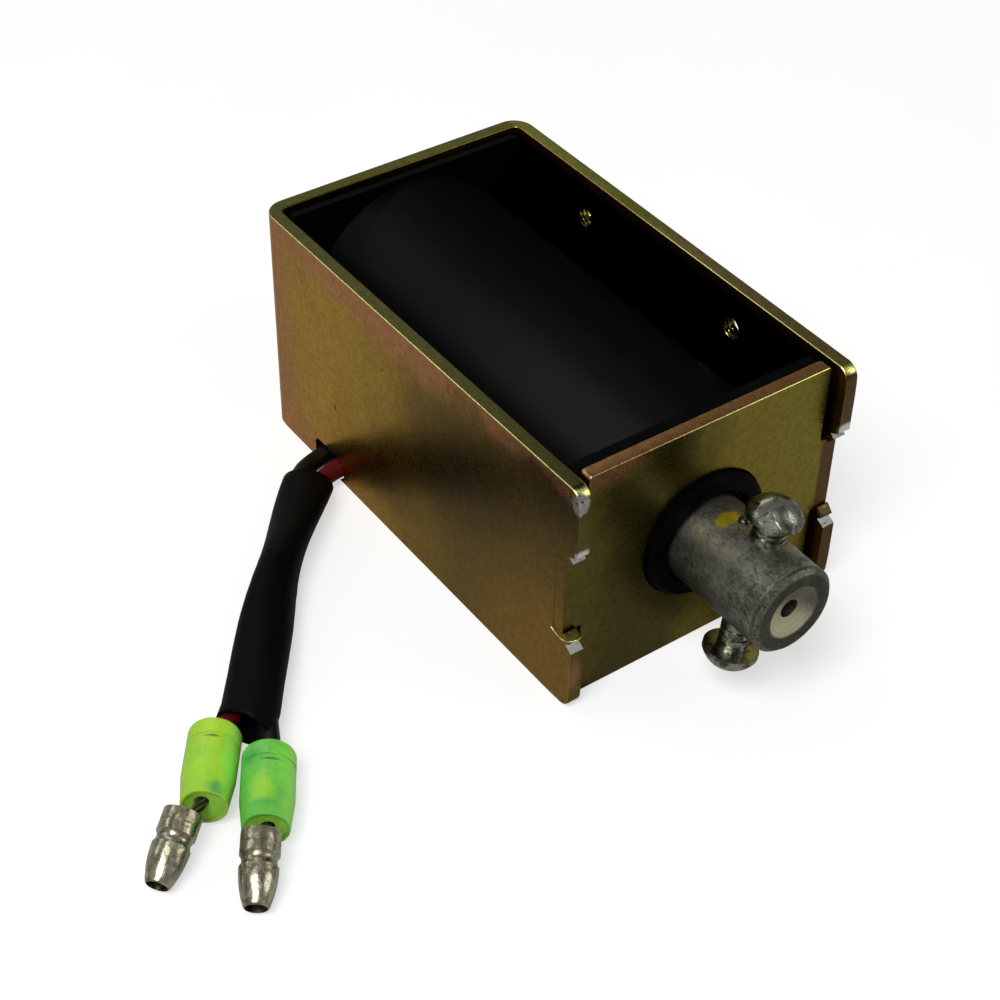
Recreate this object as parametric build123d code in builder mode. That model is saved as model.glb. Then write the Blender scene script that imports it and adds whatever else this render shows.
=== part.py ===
from build123d import *
from math import asin, cos, radians, sin, tan
import os

# Box-frame pull solenoid, in millimetres.
# The plunger points along -Y, +Z is up, and the frame stands on its open bottom edges at Z = 0.
# The origin is the middle of the footprint of the frame with its plunger as it stands at rest.

# Frame and end plate, bent and blanked from one gauge of sheet
sheet = 1.5
frame_width = 34.0
frame_length = 56.5
frame_height = 28.0
bend_inner_radius = 0.9
ear_reach = 1.5
ear_corner_radius = 1.5
tab_height = 9.4
tab_clearance = 0.05
plate_side_gap = 0.7
plate_corner_radius = 0.5
stake_tongue = 0.35
stake_land = 0.3
stake_lip_setback = 0.45
stake_lip_rise = 0.5
stake_root_depth = 1.0
stake_root_rise = 0.95
stake_mark_rise = 1.5

# Tapped mounting holes in the right wall
mount_hole_diameter = 2.5
mount_hole_spacing = 25.0
mount_hole_from_back = 14.6
mount_hole_from_edge = 5.0

# Plunger and its fixed pole
plunger_diameter = 9.65
plunger_protrusion = 13.5
plunger_stroke_in = 3.5
plunger_chamfer = 0.4
centre_hole_diameter = 2.1
centre_hole_depth = 3.2
centre_dish_diameter = 6.0
centre_dish_depth = 0.7
nose_base_diameter = 8.0
nose_length = 3.5
nose_half_angle = 30.0
nose_end_gap = 0.5
pole_length = 16.0
pole_clearance = 0.05
pole_washer_thickness = 0.5
landing_gap = 0.1
spigot_diameter = 7.0
spigot_countersink = 0.4
stake_ring_diameter = 4.6
stake_ring_depth = 0.3

# Cross pin riveted through the plunger
pin_diameter = 3.5
pin_from_end = 5.8
pin_lean = 12.7
pin_upper_neck_length = 2.3
pin_lower_neck_length = 3.6
pin_neck_diameter = 3.0
pin_groove_depth = 0.15
pin_groove_count = 3
pin_head_diameter = 5.7
pin_head_edge = 0.5
pin_head_height = 2.3
pin_facet_count = 5
pin_facet_tilt = 38.0
pin_facet_bite = 0.22

# Guide tube and bobbin. The plunger lies low in its bore by its own weight.
plunger_clearance = 0.3
plunger_rest_gap = 0.05
guide_wall = 0.35
seat_clearance = 0.02
bobbin_wall = 0.9
flange_thickness = 1.5
flange_side_gap = 0.3
flange_top_gap = 0.4
flange_end_gap = 0.05
flange_corner_radius = 1.0
start_slot_width = 1.2
snout_diameter = 14.4
snout_protrusion = 1.0
snout_clearance = 0.1
snout_rounding = 0.45
lip_clearance = 0.65
lip_length = 1.5

# Winding and its black wrap
wrap_rim_gap = 0.68
wrap_thickness = 0.6
winding_end_gap = 0.05

# Leads, their sleeves and bullet terminals
lead_diameter = 2.1
lead_spacing = 3.0
lead_exit_from_back = 12.2
lead_height = 1.45
notch_side_clearance = 0.35
notch_height = 2.9
notch_corner_radius = 0.8
anchor_left = 9.8
anchor_right = 2.0
anchor_floor_gap = 0.3
anchor_width = 8.2
splice_diameter = 1.4
splice_length = 4.0
sleeve_diameter = 5.7
sleeve_bore = 5.2
strand_diameter = 1.0
strand_straight = 1.2
insulator_diameter = 5.2
insulator_mouth_diameter = 4.5
insulator_length = 9.1
insulator_taper_length = 3.2
insulator_rounding = 0.6
insulator_wire_bore = 3.4
insulator_bore = 3.9
insulator_step_depth = 2.0
insulator_groove_depth = 0.12
insulator_groove_width = 0.3
bullet_diameter = 3.75
bullet_length = 7.2
bullet_barrel_length = 2.2
bullet_barrel_bore = 3.05
bullet_barrel_floor = 0.3
bullet_belt_from_tail = 1.3
bullet_belt_width = 0.25
bullet_belt_depth = 0.06
bullet_waist_diameter = 3.3
bullet_waist_from_tail = 2.65
bullet_bulge_diameter = 3.7
bullet_bulge_from_tail = 3.4
bullet_tip_diameter = 2.4
bullet_mouth_diameter = 2.1
bullet_mouth_depth = 2.4
bullet_lip = 0.12

# Routes of the leads, from the anchor under the coil to where the insulation ends.
# Inside their sleeve the two leads make half a turn about each other.
black_route = [
    (-9.8, 23.55, 1.45),
    (-18.6, 23.55, 1.45),
    (-23.86, 18.5, 2.73),
    (-27.9, 14.04, 1.86),
    (-31.23, 8.91, 1.45),
    (-34.33, 3.66, 1.86),
    (-37.75, -1.23, 2.56),
    (-42.5, -7.4, 2.85),
    (-45.3, -13.35, 2.7),
    (-48.2, -17.7, 2.9),
]
red_route = [
    (-9.8, 20.55, 1.45),
    (-18.8, 20.55, 1.45),
    (-21.94, 16.48, 2.97),
    (-26.49, 12.65, 3.84),
    (-31.23, 8.91, 4.25),
    (-35.86, 4.92, 3.84),
    (-39.92, 0.45, 3.14),
    (-44.62, -5.81, 2.85),
    (-47.8, -7.85, 2.7),
    (-51.7, -13.2, 3.3),
]
sleeve_route = [
    (-22.0, 18.35, 2.85),
    (-28.4, 12.25, 2.85),
    (-36.6, 2.55, 2.85),
    (-43.85, -6.95, 2.85),
]

# Where each lead's insulator starts and points, and where its bullet's tail and tip lie
black_insulator_start = (-45.25, -12.82, 2.65)
black_insulator_towards = (-50.15, -20.49, 2.65)
red_insulator_start = (-48.1, -7.6, 2.65)
red_insulator_towards = (-53.47, -14.94, 2.65)
black_bullet_tail = (-50.95, -21.1, 3.3)
black_bullet_tip = (-54.9, -26.7, 1.3)
red_bullet_tail = (-55.66, -15.18, 3.34)
red_bullet_tip = (-60.96, -19.58, 1.3)
black_strand_end = (-51.27, -22.73, 3.02)
red_strand_end = (-56.39, -16.66, 3.06)

# Places worked out from the sizes above
overall_length = frame_length - ear_reach + plunger_protrusion
y_back = overall_length / 2
y_back_inner = y_back - sheet
y_ears = y_back - frame_length
y_plate_front = y_ears + ear_reach
y_plate_inner = y_plate_front + sheet
y_plunger_end = y_plate_front - plunger_protrusion
y_pole_face = y_back_inner - pole_length
y_washer_face = y_pole_face - pole_washer_thickness
y_plunger_shoulder = y_washer_face - landing_gap - plunger_stroke_in
y_flange_rear = y_back_inner - flange_end_gap
y_flange_front = y_plate_inner + flange_end_gap
y_snout_end = y_plate_front - snout_protrusion
y_pin = y_plunger_end + pin_from_end
y_lead_exit = y_back - lead_exit_from_back
axis_height = frame_height / 2
plunger_height = axis_height - plunger_clearance + plunger_rest_gap
inner_width = frame_width - 2 * sheet
wall_centre = (frame_width - sheet) / 2
notch_low = axis_height - tab_height / 2 - tab_clearance
notch_high = axis_height + tab_height / 2 + tab_clearance
guide_bore = plunger_diameter + 2 * plunger_clearance
guide_diameter = guide_bore + 2 * guide_wall
bobbin_bore = guide_diameter + 2 * seat_clearance
bobbin_tube_diameter = bobbin_bore + 2 * bobbin_wall
pole_diameter = guide_bore - 2 * pole_clearance
flange_width = inner_width - 2 * flange_side_gap
flange_height = frame_height - 2 * flange_top_gap
wrap_diameter = flange_height - 2 * wrap_rim_gap
winding_diameter = wrap_diameter - 2 * wrap_thickness
recess_mouth_diameter = nose_base_diameter + 2 * (axis_height - plunger_height)
nose_tip_diameter = nose_base_diameter - 2 * nose_length * tan(radians(nose_half_angle))
coil_axis = Axis((0, 0, axis_height), (0, 1, 0))
plunger_axis = Axis((0, 0, plunger_height), (0, 1, 0))


def facing_front(y):
    """Upright plane at this Y that looks along -Y: local X is X and local Y is Z."""
    return Plane(origin=(0, y, 0), x_dir=(1, 0, 0), z_dir=(0, -1, 0))


def turning_plane(start, direction):
    """Plane through an axis: local X is the distance along it and local Y is the radius."""
    side = Vector(direction).cross(Vector(0, 0, 1)).normalized()
    return Plane(origin=start, x_dir=direction, z_dir=side)


def save(builder, name):
    """Label a finished piece and write it under its own name."""
    builder.part.label = name
    export_step(builder.part, f"parts/{name}.step")


def route_radii(points):
    """Radius of the arc at each inner point: as large as the two runs beside it allow."""
    radii = []
    for before, corner, after in zip(points, points[1:], points[2:]):
        run_in = Vector(corner) - Vector(before)
        run_out = Vector(after) - Vector(corner)
        half_turn = radians(run_in.get_angle(run_out)) / 2
        radii.append(0.45 * min(run_in.length, run_out.length) / tan(half_turn))
    return radii


# Distances along the coil's and the plunger's axes are measured forward from the frame's back face
coil_plane = turning_plane((0, y_back, axis_height), (0, -1, 0))
plunger_plane = turning_plane((0, y_back, plunger_height), (0, -1, 0))


def forward(y):
    """Distance of this Y in front of the frame's back face."""
    return y_back - y


# Frame: one strip bent to a U, notched for the plate's tabs, with four staked ears
with BuildPart() as frame_yoke:
    with BuildSketch(Plane.XY) as u_section:
        with Locations((0, y_back - frame_length / 2)):
            Rectangle(frame_width, frame_length)
        rear_corners = u_section.vertices().group_by(Axis.Y)[-1]
        fillet(rear_corners, radius=bend_inner_radius + sheet)
        with Locations((0, (y_back_inner + y_ears) / 2)):
            Rectangle(inner_width, y_back_inner - y_ears, mode=Mode.SUBTRACT)
        inner_corners = u_section.vertices().filter_by(lambda v: abs(v.Y - y_back_inner) < sheet / 10)
        inner_corners = inner_corners.filter_by(lambda v: abs(abs(v.X) - inner_width / 2) < sheet / 10)
        fillet(inner_corners, radius=bend_inner_radius)
    extrude(amount=frame_height)
    ear_edges = frame_yoke.edges().filter_by(Axis.X).group_by(Axis.Y)[0]
    fillet(ear_edges, radius=ear_corner_radius)

    with BuildSketch(Plane.YZ) as tab_notches:
        with Locations(((y_ears + y_plate_inner) / 2, axis_height)):
            Rectangle(y_plate_inner - y_ears, notch_high - notch_low)
    extrude(amount=frame_width, both=True, mode=Mode.SUBTRACT)

    # Each ear is struck across its front with a chisel, which bends its end over the tab
    for side in (-1, 1):
        for edge, away in ((notch_high, 1), (notch_low, -1)):
            tongue_end = edge - away * stake_tongue
            with BuildSketch(Plane.YZ.offset(side * wall_centre)) as tongue:
                with Locations(((y_ears + y_plate_front) / 2, (edge + tongue_end) / 2)):
                    Rectangle(ear_reach, stake_tongue)
            extrude(amount=sheet / 2, both=True)
            with BuildSketch(Plane.YZ.offset(side * wall_centre)) as chisel_mark:
                with BuildLine():
                    Polyline(
                        (y_ears, edge + away * stake_mark_rise),
                        (y_ears + stake_root_depth, edge + away * stake_root_rise),
                        (y_ears + stake_lip_setback, edge + away * stake_lip_rise),
                        (y_plate_front - stake_land, tongue_end),
                        (y_ears, tongue_end),
                        close=True,
                    )
                make_face()
            extrude(amount=sheet / 2, both=True, mode=Mode.SUBTRACT)

    # Four tapped holes in the right wall
    hole_height_spacing = frame_height - 2 * mount_hole_from_edge
    hole_middle = y_back - mount_hole_from_back - mount_hole_spacing / 2
    with BuildSketch(Plane.YZ.offset(frame_width / 2 - sheet)) as mounting_holes:
        with Locations((hole_middle, axis_height)):
            with GridLocations(mount_hole_spacing, hole_height_spacing, 2, 2):
                Circle(mount_hole_diameter / 2)
    extrude(amount=sheet, mode=Mode.SUBTRACT)

    # Countersunk hole for the pole's spigot in the back wall
    with BuildSketch(coil_plane) as spigot_hole:
        with BuildLine():
            Polyline(
                (0, 0),
                (0, spigot_diameter / 2 + spigot_countersink),
                (spigot_countersink, spigot_diameter / 2),
                (sheet, spigot_diameter / 2),
                (sheet, 0),
                close=True,
            )
        make_face()
    revolve(axis=coil_axis, mode=Mode.SUBTRACT)

    # Notch in the left wall's bottom edge where the leads come out
    notch_width = lead_spacing + lead_diameter + 2 * notch_side_clearance
    with BuildSketch(Plane.YZ.offset(-frame_width / 2)) as lead_notch:
        with Locations((y_lead_exit, notch_height / 2)):
            Rectangle(notch_width, notch_height)
        fillet(lead_notch.vertices().group_by(Axis.Z)[-1], radius=notch_corner_radius)
    extrude(amount=sheet, mode=Mode.SUBTRACT)
save(frame_yoke, "frame_yoke")

# End plate: closes the front, with a tab each side and the hole for the bobbin's snout
with BuildPart() as end_plate:
    with BuildSketch(facing_front(y_plate_inner)) as plate_outline:
        with Locations((0, frame_height / 2)):
            Rectangle(inner_width - 2 * plate_side_gap, frame_height)
        fillet(plate_outline.vertices(), radius=plate_corner_radius)
        with Locations((0, axis_height)):
            Rectangle(frame_width, tab_height)
            Circle(snout_diameter / 2 + snout_clearance, mode=Mode.SUBTRACT)
    extrude(amount=sheet)
save(end_plate, "end_plate")

# Bobbin: moulded tube with two square flanges and a snout through the end plate
with BuildPart() as bobbin:
    with BuildSketch(facing_front(y_flange_rear)) as rear_flange:
        with Locations((0, axis_height)):
            RectangleRounded(flange_width, flange_height, flange_corner_radius)
    extrude(amount=flange_thickness)
    rear_rim = bobbin.faces().sort_by(Axis.Y)[-1].edges()
    fillet(rear_rim, radius=bend_inner_radius)
    with BuildSketch(facing_front(y_flange_front + flange_thickness)) as front_flange:
        with Locations((0, axis_height)):
            RectangleRounded(flange_width, flange_height, flange_corner_radius)
    extrude(amount=flange_thickness)
    with BuildSketch(coil_plane) as tube_section:
        with BuildLine():
            Polyline(
                (forward(y_flange_rear), 0),
                (forward(y_flange_rear), bobbin_tube_diameter / 2),
                (forward(y_flange_front), bobbin_tube_diameter / 2),
                (forward(y_flange_front), snout_diameter / 2),
                (forward(y_snout_end) - snout_rounding, snout_diameter / 2),
                (forward(y_snout_end), snout_diameter / 2 - snout_rounding),
                (forward(y_snout_end), 0),
                close=True,
            )
        make_face()
    revolve(axis=coil_axis)
    lip_bore = plunger_diameter + 2 * lip_clearance
    with BuildSketch(coil_plane) as bore_section:
        with BuildLine():
            Polyline(
                (forward(y_flange_rear), 0),
                (forward(y_flange_rear), bobbin_bore / 2),
                (forward(y_snout_end) - lip_length, bobbin_bore / 2),
                (forward(y_snout_end) - lip_length, lip_bore / 2),
                (forward(y_snout_end), lip_bore / 2),
                (forward(y_snout_end), 0),
                close=True,
            )
        make_face()
    revolve(axis=coil_axis, mode=Mode.SUBTRACT)
    # Slot in the rear flange where the winding's inner end comes out
    slot_top = axis_height - bobbin_tube_diameter / 2
    with BuildSketch(facing_front(y_flange_rear)) as start_slot:
        with Locations((0, slot_top / 2)):
            Rectangle(start_slot_width, slot_top)
    extrude(amount=flange_thickness, mode=Mode.SUBTRACT)
save(bobbin, "bobbin")

# Brass guide tube that the plunger slides in and the pole is pressed in
with BuildPart() as guide_tube:
    with BuildSketch(facing_front(y_flange_rear)) as guide_ring:
        with Locations((0, axis_height)):
            Circle(guide_diameter / 2)
            Circle(guide_bore / 2, mode=Mode.SUBTRACT)
    extrude(amount=y_flange_rear - y_snout_end - lip_length - seat_clearance)
save(guide_tube, "guide_tube")

# Winding of enamelled wire between the flanges
y_winding_rear = y_flange_rear - flange_thickness - winding_end_gap
y_winding_front = y_flange_front + flange_thickness + winding_end_gap
with BuildPart() as coil_winding:
    with BuildSketch(facing_front(y_winding_rear)) as winding_ring:
        with Locations((0, axis_height)):
            Circle(winding_diameter / 2)
            Circle(bobbin_tube_diameter / 2, mode=Mode.SUBTRACT)
    extrude(amount=y_winding_rear - y_winding_front)
save(coil_winding, "coil_winding")

# Black wrap round the winding
with BuildPart() as coil_wrap:
    with BuildSketch(facing_front(y_winding_rear)) as wrap_ring:
        with Locations((0, axis_height)):
            Circle(wrap_diameter / 2)
            Circle(winding_diameter / 2, mode=Mode.SUBTRACT)
    extrude(amount=y_winding_rear - y_winding_front)
save(coil_wrap, "coil_wrap")

# Fixed pole: staked into the back wall, with a conical seat for the plunger's nose
with BuildPart() as pole_piece:
    recess_depth = nose_length + nose_end_gap
    recess_end = recess_mouth_diameter - 2 * recess_depth * tan(radians(nose_half_angle))
    with BuildSketch(coil_plane) as pole_section:
        with BuildLine():
            Polyline(
                (0, 0),
                (0, stake_ring_diameter / 2 - stake_ring_depth),
                (stake_ring_depth, stake_ring_diameter / 2),
                (0, stake_ring_diameter / 2 + stake_ring_depth),
                (0, spigot_diameter / 2 + spigot_countersink),
                (spigot_countersink, spigot_diameter / 2),
                (sheet, spigot_diameter / 2),
                (sheet, pole_diameter / 2),
                (forward(y_pole_face), pole_diameter / 2),
                (forward(y_pole_face), recess_mouth_diameter / 2),
                (forward(y_pole_face) - recess_depth, recess_end / 2),
                (forward(y_pole_face) - recess_depth, 0),
                close=True,
            )
        make_face()
    revolve(axis=coil_axis)
save(pole_piece, "pole_piece")

# Brass washer on the pole's face that keeps the plunger from sticking to it
with BuildPart() as pole_washer:
    with BuildSketch(facing_front(y_pole_face)) as washer_ring:
        with Locations((0, axis_height)):
            Circle(pole_diameter / 2)
            Circle(recess_mouth_diameter / 2 + pole_clearance, mode=Mode.SUBTRACT)
    extrude(amount=pole_washer_thickness)
save(pole_washer, "pole_washer")

# Direction of the cross pin: it leans to the right as the plunger stands
pin_up = Vector(0, 0, 1).rotate(Axis.Y, pin_lean)
pin_centre = Vector(0, y_pin, plunger_height)
pin_axis = Axis(pin_centre, pin_up)
pin_plane = Plane(origin=pin_centre, x_dir=pin_up, z_dir=(0, 1, 0))

# Plunger: turned bar with a chamfered end, a centre hole in a cone, and a conical nose inside
with BuildPart() as plunger:
    with BuildSketch(plunger_plane) as plunger_section:
        with BuildLine():
            Polyline(
                (forward(y_plunger_shoulder) - nose_length, 0),
                (forward(y_plunger_shoulder) - nose_length, nose_tip_diameter / 2),
                (forward(y_plunger_shoulder), nose_base_diameter / 2),
                (forward(y_plunger_shoulder), plunger_diameter / 2),
                (forward(y_plunger_end) - plunger_chamfer, plunger_diameter / 2),
                (forward(y_plunger_end), plunger_diameter / 2 - plunger_chamfer),
                (forward(y_plunger_end), centre_dish_diameter / 2),
                (forward(y_plunger_end) - centre_dish_depth, centre_hole_diameter / 2),
                (forward(y_plunger_end) - centre_hole_depth, centre_hole_diameter / 2),
                (forward(y_plunger_end) - centre_hole_depth, 0),
                close=True,
            )
        make_face()
    revolve(axis=plunger_axis)
    with BuildSketch(Plane(origin=pin_centre, z_dir=pin_up)) as pin_hole:
        Circle(pin_diameter / 2)
    extrude(amount=plunger_diameter, both=True, mode=Mode.SUBTRACT)
save(plunger, "plunger")

# Cross pin: grooved, tapered neck and domed head each side, the upper head hammered to facets
dome_height = pin_head_height - pin_head_edge
dome_radius = ((pin_head_diameter / 2) ** 2 + dome_height**2) / (2 * dome_height)
dome_angle = asin(pin_head_diameter / 2 / dome_radius)
neck_start = plunger_diameter / 2
neck_taper = (pin_diameter - pin_neck_diameter) / 2
with BuildPart() as cross_pin:
    for way, neck_length in ((-1, pin_lower_neck_length), (1, pin_upper_neck_length)):
        neck_end = neck_start + neck_length
        dome_start = neck_end + pin_head_edge
        head_top = neck_end + pin_head_height
        dome_centre = head_top - dome_radius
        with BuildSketch(pin_plane) as pin_section:
            with BuildLine():
                Polyline(
                    (0, 0),
                    (0, pin_diameter / 2),
                    (way * neck_start, pin_diameter / 2),
                    (way * neck_end, pin_neck_diameter / 2),
                    (way * neck_end, pin_head_diameter / 2),
                    (way * dome_start, pin_head_diameter / 2),
                )
                ThreePointArc(
                    (way * dome_start, pin_head_diameter / 2),
                    (way * (dome_centre + dome_radius * cos(dome_angle / 2)), dome_radius * sin(dome_angle / 2)),
                    (way * head_top, 0),
                )
                Line((way * head_top, 0), (0, 0))
            make_face()
        revolve(axis=pin_axis)
        # Ring grooves turned round the neck
        groove_pitch = neck_length / (pin_groove_count + 1)
        with BuildSketch(pin_plane) as groove_sections:
            for number in range(1, pin_groove_count + 1):
                along = neck_start + groove_pitch * number
                outside = pin_diameter / 2 - neck_taper * number / (pin_groove_count + 1)
                with Locations((way * along, outside)):
                    Rectangle(2 * pin_groove_depth, 2 * pin_groove_depth)
        revolve(axis=pin_axis, mode=Mode.SUBTRACT)
    # Hammered facets of the riveted head
    first_facet = pin_up.rotate(Axis.Y, pin_facet_tilt)
    dome_reach = dome_centre * cos(radians(pin_facet_tilt)) + dome_radius
    for number in range(pin_facet_count):
        facet_out = first_facet.rotate(Axis((0, 0, 0), pin_up), 360 / pin_facet_count * number)
        reach = dome_reach - pin_facet_bite * (1 + number % 2)
        with BuildSketch(Plane(origin=pin_centre + facet_out * reach, z_dir=facet_out)) as facet_cut:
            Rectangle(pin_head_diameter, pin_head_diameter)
        extrude(amount=pin_head_height, mode=Mode.SUBTRACT)
save(cross_pin, "cross_pin")

# Anchor pad under the coil that holds the ends of the leads
with BuildPart() as lead_anchor:
    with BuildSketch(facing_front(y_lead_exit + anchor_width / 2)) as pad_section:
        with Locations((-(anchor_left + anchor_right) / 2, (anchor_floor_gap + axis_height) / 2)):
            Rectangle(anchor_left - anchor_right, axis_height - anchor_floor_gap)
        with Locations((0, axis_height)):
            Circle(wrap_diameter / 2, mode=Mode.SUBTRACT)
    extrude(amount=anchor_width)
    with BuildSketch(Plane.YZ.offset(-anchor_left)) as splice_pockets:
        with Locations((y_lead_exit, lead_height)):
            with GridLocations(lead_spacing, 0, 2, 1):
                Circle(splice_diameter / 2)
    extrude(amount=splice_length, mode=Mode.SUBTRACT)
save(lead_anchor, "lead_anchor")

# Soldered splices between the winding's ends and the leads
with BuildPart() as splice_joints:
    with BuildSketch(Plane.YZ.offset(-anchor_left)) as splice_rounds:
        with Locations((y_lead_exit, lead_height)):
            with GridLocations(lead_spacing, 0, 2, 1):
                Circle(splice_diameter / 2)
    extrude(amount=splice_length)
save(splice_joints, "splice_joints")

# The two leads, each a plain round tube along its route
for lead_name, route in (("black_lead", black_route), ("red_lead", red_route)):
    radii = route_radii(route)
    print(lead_name, "radii", [round(radius, 1) for radius in radii])
    with BuildPart() as lead:
        with BuildLine() as lead_line:
            FilletPolyline(*route, radius=radii)
        lead_path = lead_line.wires()[0]
        with BuildSketch(Plane(origin=lead_path @ 0, z_dir=lead_path % 0)) as lead_round:
            Circle(lead_diameter / 2)
        sweep(path=lead_path)
    print(lead_name, "length", round(lead_path.length, 2))
    save(lead, lead_name)

# Black sleeve that keeps the two leads together
with BuildPart() as lead_sleeve:
    radii = route_radii(sleeve_route)
    print("lead_sleeve radii", [round(radius, 1) for radius in radii])
    with BuildLine() as sleeve_line:
        FilletPolyline(*sleeve_route, radius=radii)
    sleeve_path = sleeve_line.wires()[0]
    with BuildSketch(Plane(origin=sleeve_path @ 0, z_dir=sleeve_path % 0)) as sleeve_ring:
        Circle(sleeve_diameter / 2)
        Circle(sleeve_bore / 2, mode=Mode.SUBTRACT)
    sweep(path=sleeve_path)
print("lead_sleeve length", round(sleeve_path.length, 2))
save(lead_sleeve, "lead_sleeve")

# Green insulators: sleeves pushed back from the bullets, stepped where the lead goes in
for insulator_name, start, towards in (
    ("black_insulator", black_insulator_start, black_insulator_towards),
    ("red_insulator", red_insulator_start, red_insulator_towards),
):
    along = (Vector(towards) - Vector(start)).normalized()
    groove_at = insulator_step_depth
    with BuildPart() as insulator:
        with BuildSketch(turning_plane(start, along)) as insulator_section:
            with BuildLine():
                Polyline(
                    (insulator_rounding, insulator_diameter / 2),
                    (groove_at, insulator_diameter / 2),
                    (groove_at, insulator_diameter / 2 - insulator_groove_depth),
                    (groove_at + insulator_groove_width, insulator_diameter / 2 - insulator_groove_depth),
                    (groove_at + insulator_groove_width, insulator_diameter / 2),
                    (insulator_length - insulator_taper_length, insulator_diameter / 2),
                    (insulator_length, insulator_mouth_diameter / 2),
                    (insulator_length, insulator_bore / 2),
                    (insulator_step_depth, insulator_bore / 2),
                    (insulator_step_depth, insulator_wire_bore / 2),
                    (0, insulator_wire_bore / 2),
                    (0, insulator_diameter / 2 - insulator_rounding),
                )
                RadiusArc(
                    (0, insulator_diameter / 2 - insulator_rounding),
                    (insulator_rounding, insulator_diameter / 2),
                    insulator_rounding,
                )
            make_face()
        revolve(axis=Axis(start, along))
    save(insulator, insulator_name)

# Bullet terminals: crimped barrel with a belt, waist, and a nose that curves in to an open tip
belt_start = bullet_belt_from_tail - bullet_belt_width / 2
belt_end = bullet_belt_from_tail + bullet_belt_width / 2
belt_radius = bullet_diameter / 2 - bullet_belt_depth
for bullet_name, tail, tip in (
    ("black_bullet", black_bullet_tail, black_bullet_tip),
    ("red_bullet", red_bullet_tail, red_bullet_tip),
):
    along = (Vector(tip) - Vector(tail)).normalized()
    with BuildPart() as bullet:
        with BuildSketch(turning_plane(tail, along)) as bullet_section:
            with BuildLine():
                Polyline(
                    (bullet_barrel_length - bullet_barrel_floor, 0),
                    (bullet_barrel_length - bullet_barrel_floor, bullet_barrel_bore / 2),
                    (0, bullet_barrel_bore / 2),
                    (0, bullet_diameter / 2),
                    (belt_start, bullet_diameter / 2),
                    (belt_start, belt_radius),
                    (belt_end, belt_radius),
                    (belt_end, bullet_diameter / 2),
                    (bullet_barrel_length, bullet_diameter / 2),
                )
                ThreePointArc(
                    (bullet_barrel_length, bullet_diameter / 2),
                    (bullet_waist_from_tail, bullet_waist_diameter / 2),
                    (bullet_bulge_from_tail, bullet_bulge_diameter / 2),
                )
                TangentArc(
                    (bullet_bulge_from_tail, bullet_bulge_diameter / 2),
                    (bullet_length - bullet_lip, bullet_tip_diameter / 2),
                    tangent=(1, 0),
                )
                Polyline(
                    (bullet_length - bullet_lip, bullet_tip_diameter / 2),
                    (bullet_length, bullet_tip_diameter / 2 - bullet_lip),
                    (bullet_length, bullet_mouth_diameter / 2),
                    (bullet_length - bullet_mouth_depth, bullet_mouth_diameter / 2),
                    (bullet_length - bullet_mouth_depth, 0),
                    (bullet_barrel_length - bullet_barrel_floor, 0),
                )
            make_face()
        revolve(axis=Axis(tail, along))
    save(bullet, bullet_name)

# Bare strands from the end of each lead's insulation into its bullet's barrel
for strands_name, route, end in (
    ("black_strands", black_route, black_strand_end),
    ("red_strands", red_route, red_strand_end),
):
    last_run = (Vector(route[-1]) - Vector(route[-2])).normalized()
    strand_bend = Vector(route[-1]) + last_run * strand_straight
    strand_route = [route[-1], strand_bend, end]
    with BuildPart() as strands:
        with BuildLine() as strand_line:
            FilletPolyline(*strand_route, radius=route_radii(strand_route))
        strand_path = strand_line.wires()[0]
        with BuildSketch(Plane(origin=strand_path @ 0, z_dir=strand_path % 0)) as strand_round:
            Circle(strand_diameter / 2)
        sweep(path=strand_path)
    save(strands, strands_name)
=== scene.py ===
"""Box-frame pull solenoid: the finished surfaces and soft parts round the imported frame."""

import math
import random

import bmesh
import bpy
from bpy.props import FloatProperty, FloatVectorProperty, PointerProperty
from bpy.types import Operator, Panel, PropertyGroup
from mathutils import Matrix, Vector


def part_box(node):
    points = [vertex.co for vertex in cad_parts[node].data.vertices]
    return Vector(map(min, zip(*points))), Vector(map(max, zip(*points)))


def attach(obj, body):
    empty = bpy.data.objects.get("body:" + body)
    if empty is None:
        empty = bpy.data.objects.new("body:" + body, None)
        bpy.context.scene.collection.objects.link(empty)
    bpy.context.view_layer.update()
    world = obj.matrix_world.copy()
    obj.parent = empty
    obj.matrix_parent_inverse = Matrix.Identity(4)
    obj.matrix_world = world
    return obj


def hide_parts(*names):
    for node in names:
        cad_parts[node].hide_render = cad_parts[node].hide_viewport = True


bl_info = {
    "name": "Box-Frame Solenoid",
    "version": (1, 0, 0),
    "blender": (4, 5, 0),
    "location": "View3D > Sidebar > Solenoid",
    "description": "Dresses a packed pull solenoid with its surfaces, leads and stage",
    "category": "Object",
}

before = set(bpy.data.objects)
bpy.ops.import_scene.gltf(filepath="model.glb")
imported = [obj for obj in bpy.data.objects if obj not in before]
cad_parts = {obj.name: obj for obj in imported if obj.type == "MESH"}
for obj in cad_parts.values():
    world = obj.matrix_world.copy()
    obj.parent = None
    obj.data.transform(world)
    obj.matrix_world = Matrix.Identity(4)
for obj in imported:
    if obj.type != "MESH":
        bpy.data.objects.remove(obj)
BODY = "housing"
MOVER = "plunger_set"
MM = 0.001

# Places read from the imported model, in metres
YOKE_LOW, YOKE_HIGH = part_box("frame_yoke")
PLUNGER_LOW, PLUNGER_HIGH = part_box("plunger")
PLUNGER_AXIS_Z = (PLUNGER_LOW.z + PLUNGER_HIGH.z) / 2
PLUNGER_END = PLUNGER_LOW.y
PLUNGER_DISH = 0.003
SHEET = 0.0015

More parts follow.
